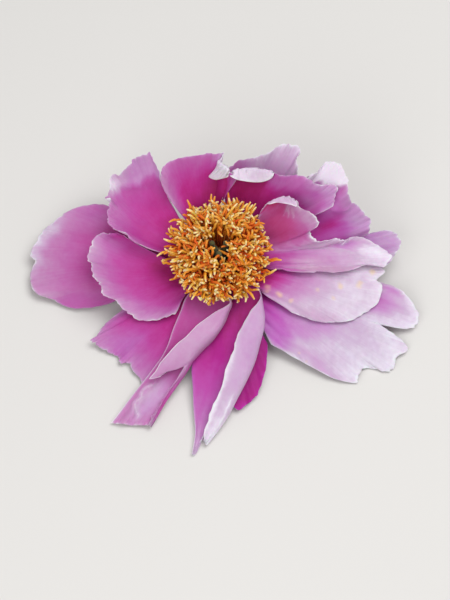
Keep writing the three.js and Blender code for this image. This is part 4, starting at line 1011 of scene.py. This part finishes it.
def stamen_tree(sizes):
    """Grows a curve for each stamen, from its root over a knee to its bent anther, and gives it its body."""
    tree = bpy.data.node_groups.new("stamens", "GeometryNodeTree")
    tree.interface.new_socket("Geometry", in_out="OUTPUT", socket_type="NodeSocketGeometry")
    for key, value in sizes.items():
        kind = "NodeSocketInt" if isinstance(value, int) else "NodeSocketFloat"
        tree.interface.new_socket(key, in_out="INPUT", socket_type=kind)
    tree.interface.new_socket("Material", in_out="INPUT", socket_type="NodeSocketMaterial")
    given = tree.nodes.new("NodeGroupInput").outputs
    node = partial(add_node, tree)
    number = node("GeometryNodeInputIndex")
    draws = itertools.count()

    def chance(low, high):
        """A random number for each stamen, drawn with a seed of its own."""
        seed = node("ShaderNodeMath", [given["Seed"], float(next(draws))], operation="ADD")
        return node("FunctionNodeRandomValue", {"ID": number, "Seed": seed, "Min": low, "Max": high}, "Value",
                    data_type="FLOAT")

    def placed(bearing, reach, height):
        """The place at a bearing in radians and a reach round the axis, and a height."""
        sides = [node("ShaderNodeMath", [bearing], operation=side) for side in ("COSINE", "SINE")]
        return node("ShaderNodeCombineXYZ", [node("ShaderNodeMath", [side, reach], operation="MULTIPLY")
                                             for side in sides] + [height])

    # The stamens' numbers run outwards, and each stands a golden angle on from the last
    middle = node("ShaderNodeMath", [number, 0.5], operation="ADD")
    share = node("ShaderNodeMath", [middle, given["Count"]], operation="DIVIDE")
    bearing = node("ShaderNodeMath", [number, GOLDEN_ANGLE, chance(-BEARING_STRAY, BEARING_STRAY)],
                   operation="MULTIPLY_ADD")
    reach = {}
    for part, crowding in (("Root", ROOT_CROWDING), ("Head", HEAD_CROWDING)):
        inner, outer = given[part + " inner"], given[part + " outer"]
        width = node("ShaderNodeMath", [outer, inner], operation="SUBTRACT")
        spread = node("ShaderNodeMath", [share, crowding], operation="POWER")
        reach[part] = node("ShaderNodeMath", [spread, width, inner], operation="MULTIPLY_ADD")
    root = placed(bearing, reach["Root"], given["Root height"])

    # The anthers' feet make a dome, from which a few stray inwards
    head_reach = node("ShaderNodeMath", [reach["Head"], chance(*REACH_STRAY)], operation="MULTIPLY")
    strayed = node("ShaderNodeMath", [chance(0.0, 1.0), 9.0], operation="POWER")
    strayed = node("ShaderNodeMath", [strayed, -0.4, 1.0], operation="MULTIPLY_ADD")
    head_reach = node("ShaderNodeMath", [head_reach, strayed], operation="MULTIPLY")
    out = node("ShaderNodeMath", [head_reach, given["Head outer"]], operation="DIVIDE")
    fall = node("ShaderNodeMath", [out, DOME_POWER], operation="POWER")
    fall = node("ShaderNodeMath", [fall, given["Head drop"]], operation="MULTIPLY")
    lean = node("ShaderNodeMath", [bearing], operation="SINE")
    lean = node("ShaderNodeMath", [lean, given["Head lean"]], operation="MULTIPLY")
    height = node("ShaderNodeMath", [given["Head top"], fall], operation="SUBTRACT")
    height = node("ShaderNodeMath", [lean, out, height], operation="MULTIPLY_ADD")
    stray = chance(*(limit / 1000 for limit in HEIGHT_STRAY))
    height = node("ShaderNodeMath", [height, stray], operation="ADD")
    neck_way = node("ShaderNodeMath", [bearing, chance(-BEARING_STRAY, BEARING_STRAY)], operation="ADD")
    neck = placed(neck_way, head_reach, height)

    # Neighbours are drawn together in tufts four or five millimetres across
    tufts = node("ShaderNodeTexNoise", {"Vector": neck, "Scale": 230.0, "Detail": 0.0}, "Color")
    drawn = node("ShaderNodeVectorMath", [tufts, (0.5, 0.5, 0.5)], operation="SUBTRACT")
    pull = node("ShaderNodeVectorMath", {0: drawn, "Scale": given["Tuft pull"]}, operation="SCALE")
    neck = node("ShaderNodeVectorMath", [neck, pull], operation="ADD")

    # The filament bends at its knee, which is higher the further out it leans
    knee = node("ShaderNodeVectorMath", [root, neck], operation="ADD")
    knee = node("ShaderNodeVectorMath", {0: knee, "Scale": 0.5}, operation="SCALE")
    rise = node("ShaderNodeMath", [head_reach, chance(0.0, 0.25)], operation="MULTIPLY")
    aside = [chance(-KNEE_STRAY / 1000, KNEE_STRAY / 1000) for _ in range(2)]
    knee = node("ShaderNodeVectorMath", [knee, node("ShaderNodeCombineXYZ", aside + [rise])], operation="ADD")

    # Anthers point every way, but mostly up, outwards on the boss's side, and as their tuft does
    tilt = node("ShaderNodeCombineXYZ", [chance(-1.0, 1.0), chance(-1.0, 1.0), chance(-0.3, 1.0)])
    shared = node("ShaderNodeVectorMath", {0: drawn, "Scale": 2.0}, operation="SCALE")
    tilt = node("ShaderNodeVectorMath", [tilt, shared], operation="ADD")
    outward = placed(bearing, node("ShaderNodeMath", [out, 0.9], operation="MULTIPLY"), 0.0)
    pointing = node("ShaderNodeVectorMath", [outward, tilt], operation="ADD")
    pointing = node("ShaderNodeVectorMath", [pointing], operation="NORMALIZE")
    length = node("ShaderNodeMath", [given["Anther length"], chance(0.7, 1.15)], operation="MULTIPLY")
    pointing = node("ShaderNodeVectorMath", {0: pointing, "Scale": length}, operation="SCALE")
    curl = node("ShaderNodeCombineXYZ", [chance(-1.0, 1.0), chance(-1.0, 1.0), chance(-0.6, 0.6)])
    curl = node("ShaderNodeVectorMath", {0: curl, "Scale": given["Curl"]}, operation="SCALE")

    # One straight thread is planted for each stamen, and carries the places worked out for it
    fields = {"root": root, "knee": knee, "neck": neck, "pointing": pointing, "curl": curl}
    stand = node("GeometryNodePoints", {"Count": given["Count"]})
    for key, field in fields.items():
        stand = node("GeometryNodeStoreNamedAttribute", {"Geometry": stand, "Name": key, "Value": field},
                     data_type="FLOAT_VECTOR", domain="POINT")
    kind = {"Geometry": stand, "Name": "kind", "Value": chance(-1.0, 1.0)}
    stand = node("GeometryNodeStoreNamedAttribute", kind, data_type="FLOAT", domain="POINT")
    thread = node("GeometryNodeResampleCurve", {"Curve": node("GeometryNodeCurvePrimitiveLine"), "Count": 15})
    planted = node("GeometryNodeInstanceOnPoints", {"Points": stand, "Instance": thread})
    threads = node("GeometryNodeRealizeInstances", {"Geometry": planted})
    fields = {key: node("GeometryNodeInputNamedAttribute", {"Name": key}, data_type="FLOAT_VECTOR")
              for key in fields}

    # A curve from root to neck by way of the knee, then an anther bent in an S
    along = node("GeometryNodeSplineParameter")
    low = node("ShaderNodeMapRange", {"Value": along, "From Max": given["Neck share"]})
    high = node("ShaderNodeMapRange", {"Value": along, "From Min": given["Neck share"]})
    filament = [fields["root"], fields["knee"], fields["neck"]]
    while len(filament) > 1:
        filament = [node("ShaderNodeMix", {"Factor": low, "A": first, "B": second}, "Result",
                         data_type="VECTOR") for first, second in zip(filament, filament[1:])]
    wave = node("ShaderNodeMath", [high, 2 * math.pi], operation="MULTIPLY")
    wave = node("ShaderNodeMath", [wave], operation="SINE")
    wave = node("ShaderNodeMath", [wave, S_BEND], operation="MULTIPLY")
    bend = node("ShaderNodeMath", [high, 2.0], operation="POWER")
    bend = node("ShaderNodeMath", [bend, wave], operation="ADD")
    path = filament[0]
    for key, amount in (("pointing", high), ("curl", bend)):
        part = node("ShaderNodeVectorMath", {0: fields[key], "Scale": amount}, operation="SCALE")
        path = node("ShaderNodeVectorMath", [path, part], operation="ADD")
    threads = node("GeometryNodeSetPosition", {"Geometry": threads, "Position": path})
    threads = node("GeometryNodeStoreNamedAttribute", {"Geometry": threads, "Name": "shaft", "Value": along},
                   data_type="FLOAT", domain="POINT")

    # Thin up to the neck, then as thick as its pollen sacs, with a blunt tip
    thickness = node("ShaderNodeFloatCurve", {"Value": along})
    mapping = thickness.node.mapping
    points = mapping.curves[0].points
    points[0].location = (0.0, 0.5)
    points[1].location = (1.0, 0.55)
    for position, size in ((0.35, 0.38), (0.56, 0.36), (0.64, 0.95), (0.8, 1.0), (0.94, 0.95)):
        points.new(position, size)
    mapping.update()
    radius = node("ShaderNodeMath", [thickness, given["Anther radius"]], operation="MULTIPLY")
    threads = node("GeometryNodeSetCurveRadius", {"Curve": threads, "Radius": radius})
    outline = node("GeometryNodeCurvePrimitiveCircle", {"Resolution": 5, "Radius": 1.0})
    body = node("GeometryNodeCurveToMesh", {"Curve": threads, "Profile Curve": outline, "Fill Caps": True})
    if "Scale" in body.node.inputs:
        tree.links.new(radius, body.node.inputs["Scale"])
    smooth = node("GeometryNodeSetShadeSmooth", {"Geometry": body})
    whole = node("GeometryNodeRealizeInstances", {"Geometry": smooth})
    finished = node("GeometryNodeSetMaterial", {"Geometry": whole, "Material": given["Material"]})
    tree.links.new(finished, tree.nodes.new("NodeGroupOutput").inputs[0])
    return tree


def grown(name, tree, inputs):
    """A plain mesh piece from a node tree, with its inputs set by their sockets' identifiers."""
    holder = bpy.data.objects.new(name + "_holder", bpy.data.meshes.new(name + "_holder"))
    bpy.context.scene.collection.objects.link(holder)
    modifier = holder.modifiers.new("growth", "NODES")
    modifier.node_group = tree
    for socket in tree.interface.items_tree:
        if socket.in_out == "INPUT":
            modifier[socket.identifier] = inputs[socket.name]
    ready = holder.evaluated_get(bpy.context.evaluated_depsgraph_get())
    mesh = bpy.data.meshes.new_from_object(ready)
    mesh.name = name
    piece = bpy.data.objects.new(name, mesh)
    bpy.context.scene.collection.objects.link(piece)
    bpy.data.objects.remove(holder)
    return piece


# The roots stand a little way in from the ring's edges and start inside its flesh
stamen_sizes = {
    "Count": STAMEN_COUNT,
    "Seed": 7,
    "Root inner": (RING_INNER + 0.6) / 1000,
    "Root outer": (RING_OUTER - 0.4) / 1000,
    "Root height": (RING_TOP - 0.5) / 1000,
    "Head inner": HEAD_INNER / 1000,
    "Head outer": HEAD_OUTER / 1000,
    "Head top": HEAD_TOP / 1000,
    "Head drop": HEAD_DROP / 1000,
    "Head lean": HEAD_LEAN / 1000,
    "Neck share": NECK_SHARE,
    "Tuft pull": TUFT_PULL / 1000,
    "Curl": CURL / 1000,
    "Anther length": ANTHER_LENGTH / 1000,
    "Anther radius": ANTHER_RADIUS / 1000,
}
stamen_inputs = {**stamen_sizes, "Material": stamen_material()}
stamen_head = grown("stamen_boss", stamen_tree(stamen_sizes), stamen_inputs)
stamen_head.data.transform(Matrix.Translation(Vector(AXIS)))
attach(stamen_head, "root")
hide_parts("stamens")

RING_ROUNDING = 0.4
RING_PROFILE = [(RING_INNER, RING_FLOOR), (RING_OUTER, RING_FLOOR), (RING_OUTER, RING_TOP - RING_ROUNDING),
                (RING_OUTER - RING_ROUNDING, RING_TOP), (RING_INNER + RING_ROUNDING, RING_TOP),
                (RING_INNER, RING_TOP - RING_ROUNDING)]


def hoop(name, profile, segments, material):
    """A closed ring turned from a closed outline of [radius, height] points."""
    angles = np.linspace(0, 2 * math.pi, segments, endpoint=False)
    points = np.array([[r * math.cos(a), r * math.sin(a), z] for a in angles for r, z in profile])
    count = len(profile)
    faces = []
    for s in range(segments):
        near, far = s * count, (s + 1) % segments * count
        for k in range(count):
            t = (k + 1) % count
            faces.append((near + k, far + k, far + t, near + t))
    return new_piece(name, points, faces, [material])


# Matt tan flesh between the filaments' roots
ring_flesh = green_tissue("stamen_ring_flesh", "#7A5A2A", "#B98A3E", 0.6, 3)
stamen_ring = hoop("stamen_ring", RING_PROFILE, 64, ring_flesh)
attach(stamen_ring, "root")
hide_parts("stamens")

# The carpels
# Three downy olive flasks in the hollow of the stamens, each closed by a curled stigma, made darker as
# painted shade of the hollow. They stand on a small disc of their own in the middle of the receptacle.
DISC_RADIUS = RING_INNER - SEAT_GAP
DISC_TOP = RING_FLOOR + 1
DISC_PROFILE = [(0, RING_FLOOR), (DISC_RADIUS, RING_FLOOR), (DISC_RADIUS, DISC_TOP - 0.3),
                (DISC_RADIUS - 0.3, DISC_TOP), (0, DISC_TOP)]
CARPEL_COUNT = 3
CARPEL_FIRST = 30  # bearing of the first
CARPEL_REACH = 1.7
CARPEL_STEEPNESS = 6  # millimetres that a flask rises for each that it leans out
CARPEL_PROFILE = [(0, -0.6), (1.1, -0.6), (1.5, 0.8), (1.75, 2.2), (1.8, 3.6), (1.65, 5), (1.3, 6.5),
                  (0.9, 7.5), (0.7, 8.1), (0.85, 8.7), (1.15, 9.1), (1.1, 9.7), (0.6, 10.1), (0, 10.2)]

# Olive skin, made darker as painted shade of the hollow it stands in, whose short down gives a soft sheen
carpel_skin = green_tissue("carpel_down", "#2F3112", "#5A5A28", 0.8, 1.2, sheen=0.15)
flasks = [turned("carpel_disc", DISC_PROFILE, 32, carpel_skin)]
home = Matrix.Translation(Vector(AXIS))
for k in range(CARPEL_COUNT):
    flask = turned(f"carpel_{k + 1}", CARPEL_PROFILE, 24, carpel_skin)
    outward = place(CARPEL_FIRST + 360 / CARPEL_COUNT * k, 1, 0)
    leaning = Vector((outward[0], outward[1], CARPEL_STEEPNESS))
    lean = Vector((0, 0, 1)).rotation_difference(leaning).to_matrix().to_4x4()
    foot = outward * CARPEL_REACH + [0, 0, DISC_TOP]
    flask.data.transform(Matrix.Translation(Vector(in_frame(foot))) @ lean @ home.inverted())
    flasks.append(flask)
for flask in flasks:
    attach(flask, "root")
    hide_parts("carpels")

# The floor, the light and the camera
# A plain, pale, matt floor, a soft lamp overhead and a weaker one at the front left, and the photograph's
# steep view.
FLOOR_HALF = 3.0  # metres
corners = [(x * FLOOR_HALF, y * FLOOR_HALF, 0) for x, y in ((-1, -1), (1, -1), (1, 1), (-1, 1))]
floor_mesh = bpy.data.meshes.new("floor")
floor_mesh.from_pydata(corners, [], [(0, 1, 2, 3)])
# Flat paint that shows the bloom's soft shadow and no reflection
floor_paint = new_material("floor_matte_paint", {"Base Color": linear("#DAD8D5"), "Roughness": 0.8})
floor_mesh.materials.append(floor_paint)
floor = bpy.data.objects.new("floor", floor_mesh)
bpy.context.scene.collection.objects.link(floor)

world = bpy.data.worlds.new("soft_studio")
world.use_nodes = True
world.node_tree.nodes["Background"].inputs["Color"].default_value = (1, 1, 1, 1)
world.node_tree.nodes["Background"].inputs["Strength"].default_value = 0.38
bpy.context.scene.world = world
bpy.context.scene.view_settings.view_transform = "Standard"

# Where each lamp stands and how wide it is, in metres, and its power in watts
LAMPS = {"key": ((0.3, 0.1, 0.95), 0.7, 6.8), "fill": ((-0.35, -0.65, 0.6), 0.7, 3.6)}
for name, (position, size, power) in LAMPS.items():
    lamp = bpy.data.lights.new(name, "AREA")
    lamp.size = size
    lamp.energy = power
    holder = bpy.data.objects.new(name, lamp)
    holder.location = position
    holder.rotation_euler = (-Vector(position)).to_track_quat("-Z", "Y").to_euler()
    bpy.context.scene.collection.objects.link(holder)

CAMERA_TARGET = (2.4, -15.1, 15.0)
CAMERA_DISTANCE = 700
CAMERA_ELEVATION = math.radians(62)
camera = bpy.data.objects.new("camera", bpy.data.cameras.new("camera"))
camera.data.lens = 105
camera.data.sensor_width = 36
camera.data.clip_end = 20
way_out = np.array([0, -math.cos(CAMERA_ELEVATION), math.sin(CAMERA_ELEVATION)])
camera.location = in_frame(np.array(CAMERA_TARGET) + way_out * CAMERA_DISTANCE)
camera.rotation_euler = Vector(-way_out).to_track_quat("-Z", "Y").to_euler()
bpy.context.scene.collection.objects.link(camera)
bpy.context.scene.camera = camera
